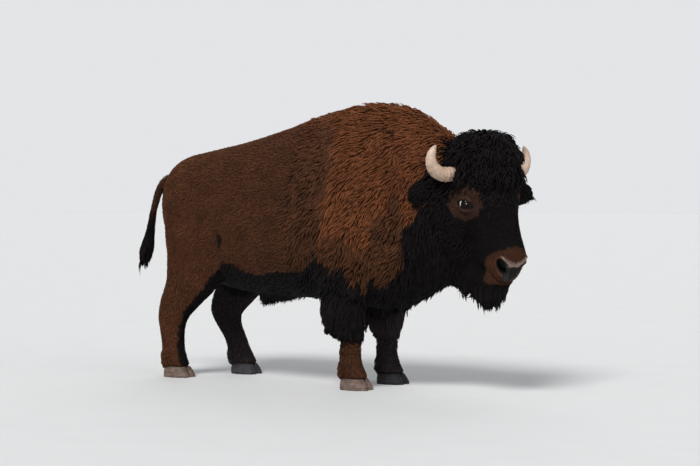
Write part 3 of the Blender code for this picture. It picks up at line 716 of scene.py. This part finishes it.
def lid_share(p):
    """1 on the bare dark rims of the eyelids."""
    share = np.zeros(len(p))
    for side in EYES:
        gaze, slit, across = eye_axes(side)
        q = p - eye_middle(side)
        near = (np.linalg.norm(q, axis=1) < EYEBALL + 0.035) & (q @ gaze > 0)
        share = np.maximum(share, near * smooth(slit_shape(q @ slit, q @ across, 0.0075), 1.12, 0.92))
    return share


# centre and radii along the face, out of the brow and to the side, and how far the skin is pushed out
FACE_FORMS = (
    ((0.596, -0.006, 0.080), (0.030, 0.022, 0.030), 0.012),
    ((0.570, -0.055, 0.092), (0.030, 0.026, 0.020), 0.007),
    ((0.535, -0.085, 0.100), (0.060, 0.030, 0.030), 0.005),
    ((0.175, 0.030, 0.165), (0.070, 0.028, 0.050), 0.012),
    ((0.245, -0.050, 0.150), (0.040, 0.016, 0.040), -0.006),
)


def sculpt_face(mesh):
    """Muzzle, nostrils, mouth line, brows and eyelids."""
    points = mesh_points(mesh)
    normals = mesh_normals(mesh)

    def push(centre, radii, amount, axis=normals):
        """Moves the skin near a point of the face along its normal, or along an axis."""
        nonlocal points
        q = sum(((part - c) / r) ** 2 for part, c, r in zip(face_parts(points), centre, radii))
        points = points + axis * (np.exp(-q * 1.4) * amount)[:, None]

    for sign in (-1, 1):
        for (along, out, aside), radii, amount in FACE_FORMS:
            push((along, out, sign * aside), radii, amount)
        lip_way = unit(AHEAD + LEFT * sign * 0.35)
        push((0.632, -0.100, sign * 0.030), (0.040, 0.060, 0.060), 0.012, lip_way)
    push((0.625, -0.060, 0.0), (0.04, 0.060, 0.010), -0.005)
    a, o, _ = face_parts(points)
    shape = nostril_shape(points)
    inwards = nostril_way(points)
    rim = 0.004 * np.exp(-(((shape - 1.7) / 0.6) ** 2))
    points = points + inwards * (0.038 * smooth(shape, 1.1, 0.45))[:, None] + normals * rim[:, None]
    behind = 0.62 - a
    mouth = -0.128 - 0.10 * behind + 0.012 * np.sin(behind * 14)
    deep = np.exp(-(((o - mouth) / 0.0085) ** 2)) * smooth(a, 0.44, 0.50)
    points = points - normals * (deep * 0.015)[:, None]
    for side in SIDES:
        gaze, slit, across = eye_axes(side)
        centre = eye_middle(side)
        q = points - centre
        far = np.linalg.norm(q, axis=1)
        w, u, v = q @ gaze, q @ slit, q @ across
        shape = slit_shape(u, v)
        swell = smooth(shape, 1.0, 1.5)
        rim = EYEBALL + 0.0032 + 0.0050 * swell + 0.004 * np.exp(-(((shape - 2.4) / 0.5) ** 2))
        rim = np.where(v > 0, rim + 0.0035 * swell, rim)
        inner = EYEBALL - 0.008 + (rim - EYEBALL + 0.008) * smooth(shape, 0.70, 1.0)
        new = centre + q / far[:, None] * np.where(shape < 1.0, inner, rim)[:, None]
        close = smooth(far, EYEBALL + 0.034, EYEBALL + 0.012) * smooth(w, 0.0, 0.012)
        mix = np.where(shape < 1.0, smooth(w, 0.0, 0.006), close)
        mix = (mix * (far < EYEBALL + 0.04))[:, None]
        points = points * (1 - mix) + new * mix
    set_points(mesh, points)


# ------ unwrap


GAP = 0.004  # between the charts


class Unwrap:
    """Lays the skin out on the unit square as flat charts: one for each part of the body and direction."""

    def __init__(self, points, normals, cells):
        self.charts = {}
        rooms = []
        ways = self.ways(normals)
        for cell, way in sorted({tuple(k) for k in np.stack([cells, ways], 1).tolist()}):
            flat = self.flat(points[(cells == cell) & (ways == way)], way)
            low, high = flat.min(0), flat.max(0)
            rooms.append(((cell, way), low - 0.01, high - low + 0.02))
        rooms.sort(key=lambda r: -r[2][1])
        self.scale = 0.5
        while not self.packed(rooms):
            self.scale *= 0.97

    @staticmethod
    def ways(normals):
        axis = np.abs(normals).argmax(1)
        return axis * 2 + (np.take_along_axis(normals, axis[:, None], 1)[:, 0] > 0)

    @staticmethod
    def flat(points, way):
        return np.delete(points, way // 2, axis=1)

    def packed(self, rooms):
        """Places the charts in rows, tallest first: False where they don't fit."""
        x, y, row, most = GAP, GAP, 0.0, 1 - GAP
        for key, low, size in rooms:
            w, h = size * self.scale
            if x + w > most:
                x, y, row = GAP, y + row + GAP, 0.0
            if x + w > most or y + h > most:
                return False
            self.charts[key] = (low, np.array([x, y]))
            x, row = x + w + GAP, max(row, h)
        return True

    def place(self, points, normals, cells):
        out = np.zeros((len(points), 2))
        ways = self.ways(normals)
        for (cell, way), (low, corner) in self.charts.items():
            chosen = (cells == cell) & (ways == way)
            out[chosen] = (self.flat(points[chosen], way) - low) * self.scale + corner
        return np.clip(out, 0.002, 0.995)


def cell_of(points, weights):
    """0 the trunk, 1 the head, 2 to 5 the legs, 6 the tail."""
    kind = kinds(weights)
    cell = np.zeros(len(points), int)
    cell[(kind["head"] + kind["bonnet"] + kind["beard"] + kind["ear"]) > 0.5] = 1
    legs = (kind["chaps"] + kind["shank"] + kind["thigh"]) > 0.5
    cell[legs] = 2 + (points[legs, 1] > 0) + 2 * (points[legs, 0] < HOOF_X + BETWEEN_FEET)
    cell[(kind["tail"] + kind["tuft"]) > 0.5] = 6
    return cell


def unwrap_skin(mesh, unwrap, points, cells):
    """Lays out each face of the skin by its own direction."""
    vertex = read(mesh.loops, "vertex_index", 1, np.int32)
    size = read(mesh.polygons, "loop_total", 1, np.int32)
    face = np.repeat(np.arange(len(size)), size)
    first = np.concatenate([[0], np.cumsum(size)[:-1]])
    normal = read(mesh.polygons, "normal", 3)[face]
    set_uv(mesh, "OFBake", unwrap.place(points[vertex], normal, cells[vertex[first]][face]))


# ------ materials


def new_material(name):
    made = bpy.data.materials.new(name)
    made.use_nodes = True
    return made, made.node_tree


def give(socket, value):
    """Sets an input, or links it to a socket or to a node's first output."""
    value = value.outputs[0] if isinstance(value, bpy.types.Node) else value
    if isinstance(value, bpy.types.NodeSocket):
        socket.id_data.links.new(value, socket)
    elif isinstance(value, tuple) and socket.type == "RGBA":
        socket.default_value = (*value, 1)
    else:
        socket.default_value = value


def add(tree, kind, **values):
    """A new node: its inputs are set or linked, and its other settings are set."""
    node = tree.nodes.new("ShaderNode" + kind)
    for key, value in values.items():
        if key in node.inputs:
            give(node.inputs[key], value)
        else:
            setattr(node, key, value)
    return node


def surface(tree, values):
    for name, value in values.items():
        give(tree.nodes["Principled BSDF"].inputs[name], value)


def maths(tree, operation, a, b):
    node = add(tree, "Math", operation=operation)
    give(node.inputs[0], a)
    give(node.inputs[1], b)
    return node


def noise(tree, place, scale, detail, **more):
    return add(tree, "TexNoise", Vector=place, Scale=scale, Detail=detail, **more)


def attribute(tree, name):
    return add(tree, "Attribute", attribute_name=name)


def ramp(tree, share, *stops):
    """Greys or colours between the stops."""
    node = add(tree, "ValToRGB", Fac=share)
    while len(node.color_ramp.elements) < len(stops):
        node.color_ramp.elements.new(0.5)
    for element, (place, value) in zip(node.color_ramp.elements, stops):
        element.position = place
        element.color = (value, value, value, 1) if isinstance(value, float) else (*value, 1)
    return node


def mixed(tree, share, a, b, kind="MIX"):
    node = add(tree, "Mix", data_type="RGBA", blend_type=kind)
    for place, value in ((0, share), (6, a), (7, b)):
        give(node.inputs[place], value)
    return node.outputs[2]


def toned(tree, colour, *tones):
    """A colour multiplied by each of the tones."""
    for tone in tones:
        colour = mixed(tree, 1.0, colour, tone, "MULTIPLY")
    return colour


def coat_material():
    """Strands along each lock over its marking, in a coat that is patchy as a whole."""
    made, tree = new_material("coat_hair")
    place = add(tree, "Mapping", Vector=add(tree, "UVMap", uv_map="lock"), Scale=(7.0, 1.1, 1.0))
    strands = noise(tree, place, 3.0, 3.0, Roughness=0.6)
    patchy = noise(tree, add(tree, "NewGeometry"), 9.0, 3.0)
    shade = ramp(tree, strands, (0.30, 0.62), (0.72, 1.30))
    tone = ramp(tree, patchy, (0.35, 0.82), (0.70, 1.15))
    surface(tree, {
        "Base Color": toned(tree, attribute(tree, "marking_and_painted_light"), shade, tone),
        "Roughness": ramp(tree, strands, (0.2, 0.72), (0.8, 0.52)),
        "Normal": add(tree, "Bump", Height=strands, Distance=0.002, Strength=0.8),
        "Specular IOR Level": 0.09,
        "Sheen Weight": 0.01,
        "Sheen Roughness": 0.45,
        "Sheen Tint": (0.55, 0.42, 0.34),
    })
    return made


def skin_material():
    """Short fur as bump and shade, bare and damp on the nose pad and the rims of the lids."""
    made, tree = new_material("skin_fur")
    marking_and_painted_light, bare = attribute(tree, "marking_and_painted_light"), attribute(tree, "bare").outputs["Fac"]
    where = add(tree, "NewGeometry")
    place = add(tree, "Mapping", Vector=where, Scale=(55.0, 170.0, 70.0))
    fur = noise(tree, place, 1.6, 4.0, Roughness=0.65, Distortion=0.6)
    furry = toned(tree, marking_and_painted_light, ramp(tree, fur, (0.30, 0.55), (0.72, 1.10)))
    pebbles = ramp(tree, add(tree, "TexVoronoi", Vector=where, Scale=190.0), (0.0, 1.0), (0.55, 0.70))
    height = mixed(tree, bare, fur.outputs["Color"], pebbles)
    surface(tree, {
        "Base Color": mixed(tree, bare, furry, toned(tree, marking_and_painted_light, pebbles)),
        "Roughness": mixed(tree, bare, (0.80, 0.80, 0.80), (0.42, 0.42, 0.42)),
        "Normal": add(tree, "Bump", Height=height, Distance=0.0025, Strength=0.7),
        "Specular IOR Level": 0.13,
    })
    return made


IRIS = (0.0010, 0.0007, 0.0006), (0.0040, 0.0022, 0.0016)
EYE_DARK, EYE_WHITE, PUPIL = (0.010, 0.007, 0.006), (0.34, 0.31, 0.29), (0.002, 0.002, 0.002)


def eye_material():
    """A dark brown iris with a level pupil, and a little white at the rear corner, under a wet surface."""
    made, tree = new_material("eye_wet")
    place = add(tree, "TexCoord").outputs["Object"]
    x, y, _ = add(tree, "SeparateXYZ", Vector=place).outputs
    forward = maths(tree, "SUBTRACT", x, 0.004)

    def ellipse(half_x, half_y):
        ways = (forward, half_x), (y, half_y)
        return maths(tree, "ADD", *(maths(tree, "POWER", maths(tree, "DIVIDE", *way), 2.0) for way in ways))

    iris = ramp(tree, ellipse(0.030, 0.030), (0.80, 1.0), (1.0, 0.0))
    pupil = ramp(tree, ellipse(0.0185, 0.0085), (0.75, 1.0), (1.0, 0.0))
    corner = ramp(tree, maths(tree, "MULTIPLY", x, -25.0), (0.56, 0.0), (0.66, 1.0))
    brown = mixed(tree, noise(tree, place, 260.0, 2.0), *IRIS)
    white = mixed(tree, corner, EYE_DARK, EYE_WHITE)
    surface(tree, {
        "Base Color": mixed(tree, pupil, mixed(tree, iris, white, brown), PUPIL),
        "Roughness": 0.04,
        "Specular IOR Level": 0.08,
    })
    return made


# along the horn, from root to tip
HORN_COLOURS = (
    (0.0, (0.28, 0.190, 0.135)), (0.22, (0.465, 0.325, 0.235)), (0.8, (0.525, 0.380, 0.285)),
    (1.0, (0.33, 0.235, 0.175)),
)


def horn_material():
    """Cream keratin with fine rings, greyer at the root and darker at the tip."""
    made, tree = new_material("horn_keratin")
    where = add(tree, "NewGeometry")
    grain = noise(tree, where, 60.0, 5.0, Roughness=0.6)
    cream = ramp(tree, attribute(tree, "along").outputs["Fac"], *HORN_COLOURS)
    stain = ramp(tree, noise(tree, where, 18.0, 2.0), (0.35, 0.80), (0.65, 1.06))
    surface(tree, {
        "Base Color": toned(tree, cream, stain, ramp(tree, grain, (0.30, 0.86), (0.70, 1.06))),
        "Roughness": 0.42,
        "Normal": add(tree, "Bump", Height=grain, Distance=0.0012, Strength=0.6),
    })
    return made


def hoof_material():
    """Grey-tan horn with growth lines across it and worn streaks."""
    made, tree = new_material("hoof_keratin")
    where = add(tree, "NewGeometry")
    rings = noise(tree, add(tree, "Mapping", Vector=where, Scale=(14.0, 14.0, 190.0)), 1.0, 3.0)
    shade = ramp(tree, rings, (0.32, 0.62), (0.68, 1.25))
    worn = ramp(tree, noise(tree, where, 38.0, 4.0), (0.35, 0.66), (0.68, 1.20))
    surface(tree, {
        "Base Color": toned(tree, attribute(tree, "marking_and_painted_light"), shade, worn),
        "Roughness": 0.60,
        "Normal": add(tree, "Bump", Height=rings, Distance=0.0015, Strength=0.7),
        "Specular IOR Level": 0.20,
    })
    return made


# ------ locks of hair

# each of these runs along a lock: shares of its length, then width, height in the coat and brightness there
TAPER = (0.0, 0.25, 0.55, 0.85, 1.0), (0.60, 1.0, 0.95, 0.55, 0.0)
RISE = (0.0, 0.3, 0.6, 0.85, 1.0), (-0.15, 0.50, 0.90, 1.0, 0.85)
TONE = (0.0, 0.35, 1.0), (0.45, 0.85, 1.18)
RIDGE = 0.75  # the height of a lock's ridge, for each metre of half its width
SHORTEST = 0.22  # the share of a lock that trimming leaves
GATHER = 0.85  # how close the tips of a clump come together
# least and most: share of the coat's depth, curls, and shares of the region's length and width
LAYERS, CURLS, LENGTH_SPREAD, WIDTH_SPREAD = (0.55, 1.0), (0.6, 1.3), (0.75, 1.2), (0.8, 1.25)
STRAY = 0.10  # spread of the lie from lock to lock
COLOUR_SPREAD = 0.13
PATCH_SIZE = 0.003  # of each lock on the skin's unwrap
KNOTS = {"short": 3, "woolly": 4, "long": 6}
LENGTHS = (0.036, 0.062)  # where woolly and long hair begin
MOST_TRIANGLES = 190000  # in one piece of coat


def lock_mesh(name, path, side, up, width, colour, root_uv, rng):
    """Closed tapering locks of three sides, one for each path. Short ones are less dark at the root."""
    plain = smooth(width, 0.008, 0.004)[:, None] * 0.7
    count, knots, _ = path.shape
    shares = np.linspace(0, 1, knots)
    size = np.interp(shares, *TAPER)
    rings = knots - 1
    half = width[:, None, None] * size[None, :rings, None] / 2
    body, aside = path[:, :rings], side[:, :rings] * half
    ridge = body + up[:, :rings] * half * RIDGE
    verts = np.stack([body + aside, body - aside, ridge], 2).reshape(count, rings * 3, 3)
    verts = np.concatenate([verts, path[:, -1:]], 1)
    faces = [(0, 1, 2)]
    for r in range(rings - 1):
        for k in range(3):
            a, b = r * 3 + k, r * 3 + (k + 1) % 3
            faces += [(b, a, a + 3), (b, a + 3, b + 3)]
    last = (rings - 1) * 3
    faces += [(last + (k + 1) % 3, last + k, rings * 3) for k in range(3)]
    per = rings * 3 + 1
    tris = (np.array(faces)[None] + (np.arange(count) * per)[:, None, None]).reshape(-1, 3)
    mesh = bpy.data.meshes.new(name)
    mesh.vertices.add(count * per)
    mesh.vertices.foreach_set("co", verts.astype(np.float32).ravel())
    mesh.loops.add(len(tris) * 3)
    mesh.loops.foreach_set("vertex_index", tris.astype(np.int32).ravel())
    mesh.polygons.add(len(tris))
    mesh.polygons.foreach_set("loop_start", np.arange(0, len(tris) * 3, 3, dtype=np.int32))
    mesh.polygons.foreach_set("use_smooth", np.ones(len(tris), bool))
    across = np.array([0.0, 1.0, 0.5] * rings + [0.5])
    along = np.append(np.repeat(shares[:rings], 3), 1.0)
    flat = np.stack([across, along], 1)
    lock_uv = flat[None] + rng.uniform(0, 40, (count, 2))[:, None]
    bake_uv = root_uv[:, None] + (flat - 0.5)[None] * PATCH_SIZE
    for layer_name, uv in (("OFBake", bake_uv), ("lock", lock_uv)):
        set_uv(mesh, layer_name, uv.reshape(-1, 2)[tris.ravel()])
    tone = np.interp(along, *TONE)[None] * (1 - plain) + plain
    tone = colour[:, None] * tone[:, :, None]
    set_attribute(mesh, "marking_and_painted_light", "FLOAT_COLOR", tone.reshape(-1, 3))
    mesh.update()
    mesh.validate()
    return mesh


def trace(roots, normals, face, skin, length, knots, depth, hang, curl, rng):
    """Paths that run from the roots along the skin, rise to the coat's depth and hang where they may."""
    count = len(roots)
    shares = np.linspace(0, 1, knots)
    rise = np.interp(shares, *RISE)
    path, side, up = (np.empty((count, knots, 3)) for _ in range(3))
    layer = rng.uniform(*LAYERS, count)
    phase = rng.uniform(0, math.tau, count)
    turns = rng.uniform(*CURLS, count)
    stray = rng.normal(0, STRAY, count)[:, None]

    def own_way(place, normal, face):
        """The lie of the hair at a place, with each lock's own stray."""
        way = lie(place, normal, skin["weights"][skin["faces"][face]].mean(1))
        return unit(way + np.cross(normal, way) * stray)

    way, normal = own_way(roots, normals, face), normals
    here = roots + normals * (rise[0] * depth * layer)[:, None]
    for k in range(knots):
        aside = unit(np.cross(way, normal))
        amount = curl * shares[k]
        angle = phase + turns * math.tau * shares[k]
        wave = np.sin(angle) - np.sin(phase)
        nod = np.cos(angle) - np.cos(phase)
        path[:, k] = here + aside * (amount * wave)[:, None] + normal * (amount * 0.5 * nod)[:, None]
        side[:, k], up[:, k] = aside, normal
        if k == knots - 1:
            break
        step = (length * (shares[k + 1] - shares[k]))[:, None]
        fall = (hang * shares[k + 1])[:, None]
        free = unit(way * (1 - fall) - UP * fall)
        ahead = here + free * step
        near, near_normal, facet = nearest(skin["tree"], ahead)
        height = ((ahead - near) * near_normal).sum(1)
        goal = depth * layer * rise[k + 1]
        followed = near + near_normal * goal[:, None]
        loose = near + (ahead - near) + near_normal * np.maximum(0.35 * goal - height, 0)[:, None]
        beyond = np.linalg.norm(ahead - near, axis=1) > depth * 1.5 + 0.01
        keep = np.where(beyond, np.minimum(hang * 3, 1.0), hang)[:, None]
        here = followed * (1 - keep) + loose * keep
        new_way = own_way(near, near_normal, facet)
        way = unit(way * 0.4 + new_way * 0.6 * (1 - keep) + free * keep)
        normal = unit(normal * 0.3 + near_normal * 0.7)
    return path, side, up


def gathered(path, clump, size, rng):
    """Draws the tips of neighbours together into pointed clumps of about the given size."""
    count, knots, _ = path.shape
    roots = path[:, 0]
    cell = np.floor(roots / size[:, None]).astype(int)
    leaders = {}
    for i in rng.permutation(count).tolist():
        leaders.setdefault(tuple(cell[i]), i)
    chosen = list(leaders.values())
    tree = KDTree(len(chosen))
    for n, i in enumerate(chosen):
        tree.insert(roots[i], n)
    tree.balance()
    near = np.array([chosen[tree.find(p)[1]] for p in roots.tolist()])
    shares = np.linspace(0, 1, knots)[None, :, None]
    pull = clump[:, None, None] * shares**1.3
    offset = (roots - roots[near])[:, None]
    target = path[near] + offset * (1 - GATHER * shares)
    inner = 1 - np.clip(np.linalg.norm(offset[:, 0], axis=1) / (0.7 * size), 0, 1)
    return path * (1 - pull) + target * pull, inner


def trimmed(path, cad_tree, allow, rng):
    """Shortens a lock where it would reach out of the CAD solids."""
    count, knots, _ = path.shape
    reach = np.full(count, 1.0)
    margin = rng.uniform(-0.004, 0.008, count) + allow
    before = np.full(count, -0.01)
    done = np.zeros(count, bool)
    for k in range(1, knots):
        near, normal, _ = nearest(cad_tree, path[:, k])
        out = ((path[:, k] - near) * normal).sum(1)
        crossing = (out > margin) & ~done
        share = (k - 1 + np.clip((margin - before) / np.maximum(out - before, 1e-6), 0, 1)) / (knots - 1)
        reach[crossing] = share[crossing]
        done |= crossing
        before = out
    reach = np.maximum(reach, SHORTEST)
    at = np.linspace(0, 1, knots)[None] * reach[:, None] * (knots - 1)
    low = np.minimum(at.astype(int), knots - 2)
    t = (at - low)[:, :, None]
    rows = np.arange(count)[:, None]
    return path[rows, low] * (1 - t) + path[rows, low + 1] * t, reach


def make_coat(skin, hair):
    """All the locks, in pieces by length and place."""
    rng = np.random.default_rng(5)
    tri = skin["faces"]
    corners = skin["points"][tri]
    cross = np.cross(corners[:, 1] - corners[:, 0], corners[:, 2] - corners[:, 0])
    area = np.linalg.norm(cross, axis=1) / 2
    spacing = skin["numbers"][tri].mean(1)[:, 3]
    density = (1 - skin["bald"][tri].mean(1)) / spacing**2
    expected = np.cumsum(area * density)
    count = int(expected[-1])
    steps = np.arange(count) + rng.uniform(0, 1, count)
    face = np.searchsorted(expected, steps.clip(0, expected[-1] - 1e-6))
    r1, r2 = np.sqrt(rng.uniform(0, 1, count)), rng.uniform(0, 1, count)
    share = np.stack([1 - r1, r1 * (1 - r2), r1 * r2], 1)[:, :, None]
    known = ("points", "normals", "weights", "numbers")
    roots, normals, weights, numbers = ((skin[name][tri[face]] * share).sum(1) for name in known)
    normals = unit(normals)
    depth, length, width, _, hang, curl, clump = numbers.T
    length = length * rng.uniform(*LENGTH_SPREAD, count)
    width = width * rng.uniform(*WIDTH_SPREAD, count)
    way = unit(lie(roots, normals, weights) * (1 - hang)[:, None] - UP * hang[:, None])
    colour = markings_and_painted_light(roots + way * (length * 0.5)[:, None], weights)
    colour = colour * rng.normal(1.0, COLOUR_SPREAD, (count, 1)).clip(0.6, 1.5)
    uv = skin["unwrap"].place(roots, normals, cell_of(roots, weights))
    sizes = np.digitize(length, LENGTHS)
    hems = smooth(hang, 0.5, 0.7)
    allow = 0.003 + 0.007 * kinds(weights)["bonnet"] - 0.017 * hems
    tufts = 0.030 * hems
    group = np.array([PIECES.get(name, name) for name in REGIONS])[weights.argmax(1)]
    total = 0
    for label in dict.fromkeys(PIECES.get(name, name) for name in REGIONS):
        for level, (word, knots) in enumerate(KNOTS.items()):
            chosen = np.flatnonzero((group == label) & (sizes == level))
            if len(chosen) == 0:
                continue
            chosen = chosen[np.argsort(roots[chosen, 0], kind="stable")]
            path, side, up = trace(
                roots[chosen], normals[chosen], face[chosen], skin, length[chosen], knots, depth[chosen],
                hang[chosen], curl[chosen], rng,
            )
            path, inner = gathered(path, clump[chosen], np.maximum(length[chosen] * 0.45, 0.02), rng)
            if word == "long":
                path, reach = trimmed(path, skin["cad"], allow[chosen] + tufts[chosen] * inner, rng)
                width[chosen] *= np.clip(reach * 1.7, 0.35, 1.0)
            pieces = math.ceil(len(chosen) * ((knots - 2) * 6 + 4) / MOST_TRIANGLES)
            for number, part in enumerate(np.array_split(np.arange(len(chosen)), pieces)):
                name = f"coat_{label}_{word}" + (f"_{number + 1}" if pieces > 1 else "")
                pick = chosen[part]
                looks = width[pick], colour[pick], uv[pick]
                mesh = lock_mesh(name, path[part], side[part], up[part], *looks, rng)
                mesh.materials.append(hair)
                obj = add_object(name, mesh)
                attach(obj, "root")
                total += len(mesh.polygons)
    print("coat triangles", total)


# ------ horns, hooves, eyes


FINENESS = {"horn": 0.0035, "claw": 0.0032, "dewclaw": 0.002}  # voxels of the copies


def fine_copy(node, size, rounds):
    """A CAD node as an even, softened mesh."""
    mesh = remeshed(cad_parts[node].data.copy(), size, f"{node}_fine")
    mesh.materials.clear()
    largest_island(mesh)
    set_points(mesh, relaxed(mesh_points(mesh), mesh_edges(mesh), rounds))
    mesh.shade_smooth()
    return mesh


def take_place(obj, node):
    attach(obj, "root")
    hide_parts(node)


HORN_ROOT = 0.13  # how far out from the middle the horns begin
HORN_BEND = 0.275  # how far out they turn up
HORN_LENGTH = 0.36


def make_horns(keratin):
    """Horns with fine rings that fade towards the tip."""
    for side, sign in SIDES.items():
        mesh = fine_copy(f"horn_{side}", FINENESS["horn"], 4)
        points = mesh_points(mesh)
        _, left, up = level_parts(points)
        out = left * sign
        angle = np.arctan2(up - 0.055, (left - HORN_BEND * sign) * sign)
        bend = np.where(out < HORN_BEND, out - HORN_ROOT, 0.145 + (angle + math.pi / 2) * 0.07)
        share = np.clip(bend / HORN_LENGTH, 0, 1)
        rings = 0.0010 * np.sin(share * 95) * (1 - smooth(share, 0.30, 0.65))
        rings = rings + 0.0004 * wobble(points, 0.010, 31)
        set_points(mesh, points + mesh_normals(mesh) * rings[:, None])
        set_attribute(mesh, "along", "FLOAT", share)
        mesh.materials.append(keratin)
        take_place(add_object(f"horn_{side}_ridged", mesh), f"horn_{side}")


def make_hoof(leg, kind, place, keratin):
    """A claw with rings and a chipped lower edge on a flat sole, or a plain, darker dewclaw."""
    node = f"{kind}_{leg}_{place}"
    low, high = (corner[2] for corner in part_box(node))
    mesh = fine_copy(node, FINENESS[kind], 3)
    points = mesh_points(mesh)
    # painted shade: the far, left claws take a darker tint
    tint = np.array(FAR_HOOVES_SHADED.get(leg, HOOF)) * (1 if kind == "claw" else 0.25)
    if kind == "claw":
        height = (points[:, 2] - low) / (high - low)
        rings = 0.0009 * np.sin(height * 26 + 2 * wobble(points, 0.05, 41)) * smooth(height, 0.06, 0.2)
        chips = 0.0012 * wobble(points, 0.012, 42) * smooth(height, 0.4, 0.05)
        points = points + mesh_normals(mesh) * (rings + chips)[:, None]
        points[:, 2] = np.where(height < 0.09, low, np.maximum(points[:, 2], low))
    set_points(mesh, points)
    tint = tint * (1 - 0.35 * smooth(points[:, 2], 0.035, 0.068))[:, None]
    set_attribute(mesh, "marking_and_painted_light", "FLOAT_COLOR", tint)
    mesh.materials.append(keratin)
    take_place(add_object(f"{node}_horn", mesh), node)


def make_hooves(keratin):
    for leg in ("front_left", "front_right", "hind_left", "hind_right"):
        for place in ("inner", "outer"):
            for kind in ("claw", "dewclaw"):
                make_hoof(leg, kind, place, keratin)


CORNEA = (0.026, 0.0022)  # its radius and how far it bulges


def make_eyes(wet):
    made = []
    for side in SIDES:
        gaze, slit, _ = eye_axes(side)
        bm = bmesh.new()
        bmesh.ops.create_uvsphere(bm, u_segments=56, v_segments=36, radius=EYEBALL)
        for v in bm.verts:
            r = math.hypot(v.co.x, v.co.y)
            if v.co.z > 0 and r < CORNEA[0]:
                v.co.z += CORNEA[1] * (1 - (r / CORNEA[0]) ** 2)
        mesh = mesh_of(bm, f"eyeball_{side}")
        mesh.shade_smooth()
        mesh.materials.append(wet)
        obj = add_object(f"eyeball_{side}", mesh)
        turn = Matrix((slit, np.cross(gaze, slit), gaze)).transposed().to_4x4()
        obj.matrix_world = Matrix.Translation(eye_middle(side)) @ turn
        take_place(obj, f"eye_{side}")
        made.append(obj)
    return made


# ------ stage

# name, azimuth from the animal's right towards its head, elevation, strength and spread
LIGHTS = (("key", 8, 48, 2.9, 22), ("fill", 85, 25, 0.6, 50), ("back", 205, 40, 0.6, 50))
CATCH_LIGHT = ("catch", 30, 5, 6.5, 15)
FLOOR_RADIUS = 60.0
FLOOR_TONES = (0.600, 0.600, 0.595), (0.615, 0.615, 0.610)
SKY_LOW, SKY_HIGH = (0.77, 0.78, 0.80), (0.30, 0.31, 0.33)
CAMERA_AHEAD, CAMERA_Y, CAMERA_HEIGHT = 5.961, -9.445, 1.263  # ahead is from the front hooves
CAMERA_TURN, CAMERA_PITCH = 33, 1.63882  # degrees to the left and down
CAMERA_LENS, CAMERA_SENSOR = 93.65, 36.0  # mm


def make_stage():
    bm = bmesh.new()
    bmesh.ops.create_circle(bm, cap_ends=True, radius=FLOOR_RADIUS, segments=96)
    mesh = mesh_of(bm, "floor")
    floor = add_object("floor", mesh)
    made, tree = new_material("floor_pale")
    specks = noise(tree, add(tree, "TexCoord").outputs["Object"], 3.0, 3.0)
    tone = ramp(tree, specks, (0.3, FLOOR_TONES[0]), (0.7, FLOOR_TONES[1]))
    surface(tree, {"Base Color": tone, "Roughness": 0.8})
    mesh.materials.append(made)
    world = bpy.context.scene.world or bpy.data.worlds.new("studio")
    bpy.context.scene.world = world
    world.use_nodes = True
    tree = world.node_tree
    height = add(tree, "SeparateXYZ", Vector=add(tree, "TexCoord")).outputs["Z"]
    sky = ramp(tree, height, (0.10, SKY_LOW), (0.55, SKY_HIGH))
    give(tree.nodes["Background"].inputs["Color"], sky)
    bpy.context.scene.view_settings.view_transform = "Standard"


def soft_light(name, azimuth, elevation, strength, spread):
    """A broad light from far off."""
    light = bpy.data.lights.new(name, "SUN")
    light.energy = strength
    light.angle = math.radians(spread)
    obj = add_object(name, light)
    obj.rotation_euler = (math.radians(90 - elevation), 0.0, math.radians(azimuth))
    return obj


def catch_light(eyes):
    """A soft spot of light in the eyes alone."""
    lit = bpy.data.collections.new("catch_light")
    for obj in eyes:
        lit.objects.link(obj)
    soft_light(*CATCH_LIGHT).light_linking.receiver_collection = lit


def make_camera():
    """A quarter from the front on the animal's right, a little above its belly."""
    data = bpy.data.cameras.new("camera")
    data.sensor_width = CAMERA_SENSOR
    data.lens = CAMERA_LENS
    data.clip_end = 5 * FLOOR_RADIUS
    obj = add_object("camera", data)
    obj.location = (HOOF_X + CAMERA_AHEAD, CAMERA_Y, CAMERA_HEIGHT)
    obj.rotation_euler = (math.radians(90 - CAMERA_PITCH), 0.0, math.radians(CAMERA_TURN))
    bpy.context.scene.camera = obj


# ------ everything

def finished_skin():
    """The skin as a piece, and all that the coat has to know of it."""
    mesh, weights, cad_tree = make_skin()
    for near, cuts in ((near_face, 1), (near_nose, 1), (near_eyes, 2)):
        weights = refine(mesh, weights, near, cuts)
    sculpt_face(mesh)
    points, normals, faces = mesh_points(mesh), mesh_normals(mesh), triangles(mesh)
    lids = lid_share(points)
    nostrils = np.maximum(smooth(nostril_shape(points), 1.6, 1.3), nostril_dark(points))
    bare = np.maximum(np.maximum(nose_share(points), nostrils), lids)
    colour = markings_and_painted_light(points, weights) * (1 - lids[:, None]) + np.array(EYELID) * lids[:, None]
    cells = cell_of(points, weights)
    unwrap = Unwrap(points, normals, cells)
    unwrap_skin(mesh, unwrap, points, cells)
    set_attribute(mesh, "marking_and_painted_light", "FLOAT_COLOR", colour)
    set_attribute(mesh, "bare", "FLOAT", bare)
    mesh.shade_smooth()
    mesh.materials.append(skin_material())
    obj = add_object("skin", mesh)
    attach(obj, "root")
    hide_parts(*FLESH)
    print("skin triangles", len(faces))
    return {
        "points": points, "normals": normals, "faces": faces, "weights": weights,
        "numbers": coat_numbers(points, weights), "bald": np.maximum(bare, points[:, 2] < CORONET + 0.004),
        "tree": BVHTree.FromPolygons(points.tolist(), faces.tolist()), "unwrap": unwrap, "cad": cad_tree,
    }


make_camera()
make_stage()
for light in LIGHTS:
    soft_light(*light)
whole_skin = finished_skin()
catch_light(make_eyes(eye_material()))
make_horns(horn_material())
make_hooves(hoof_material())
make_coat(whole_skin, coat_material())
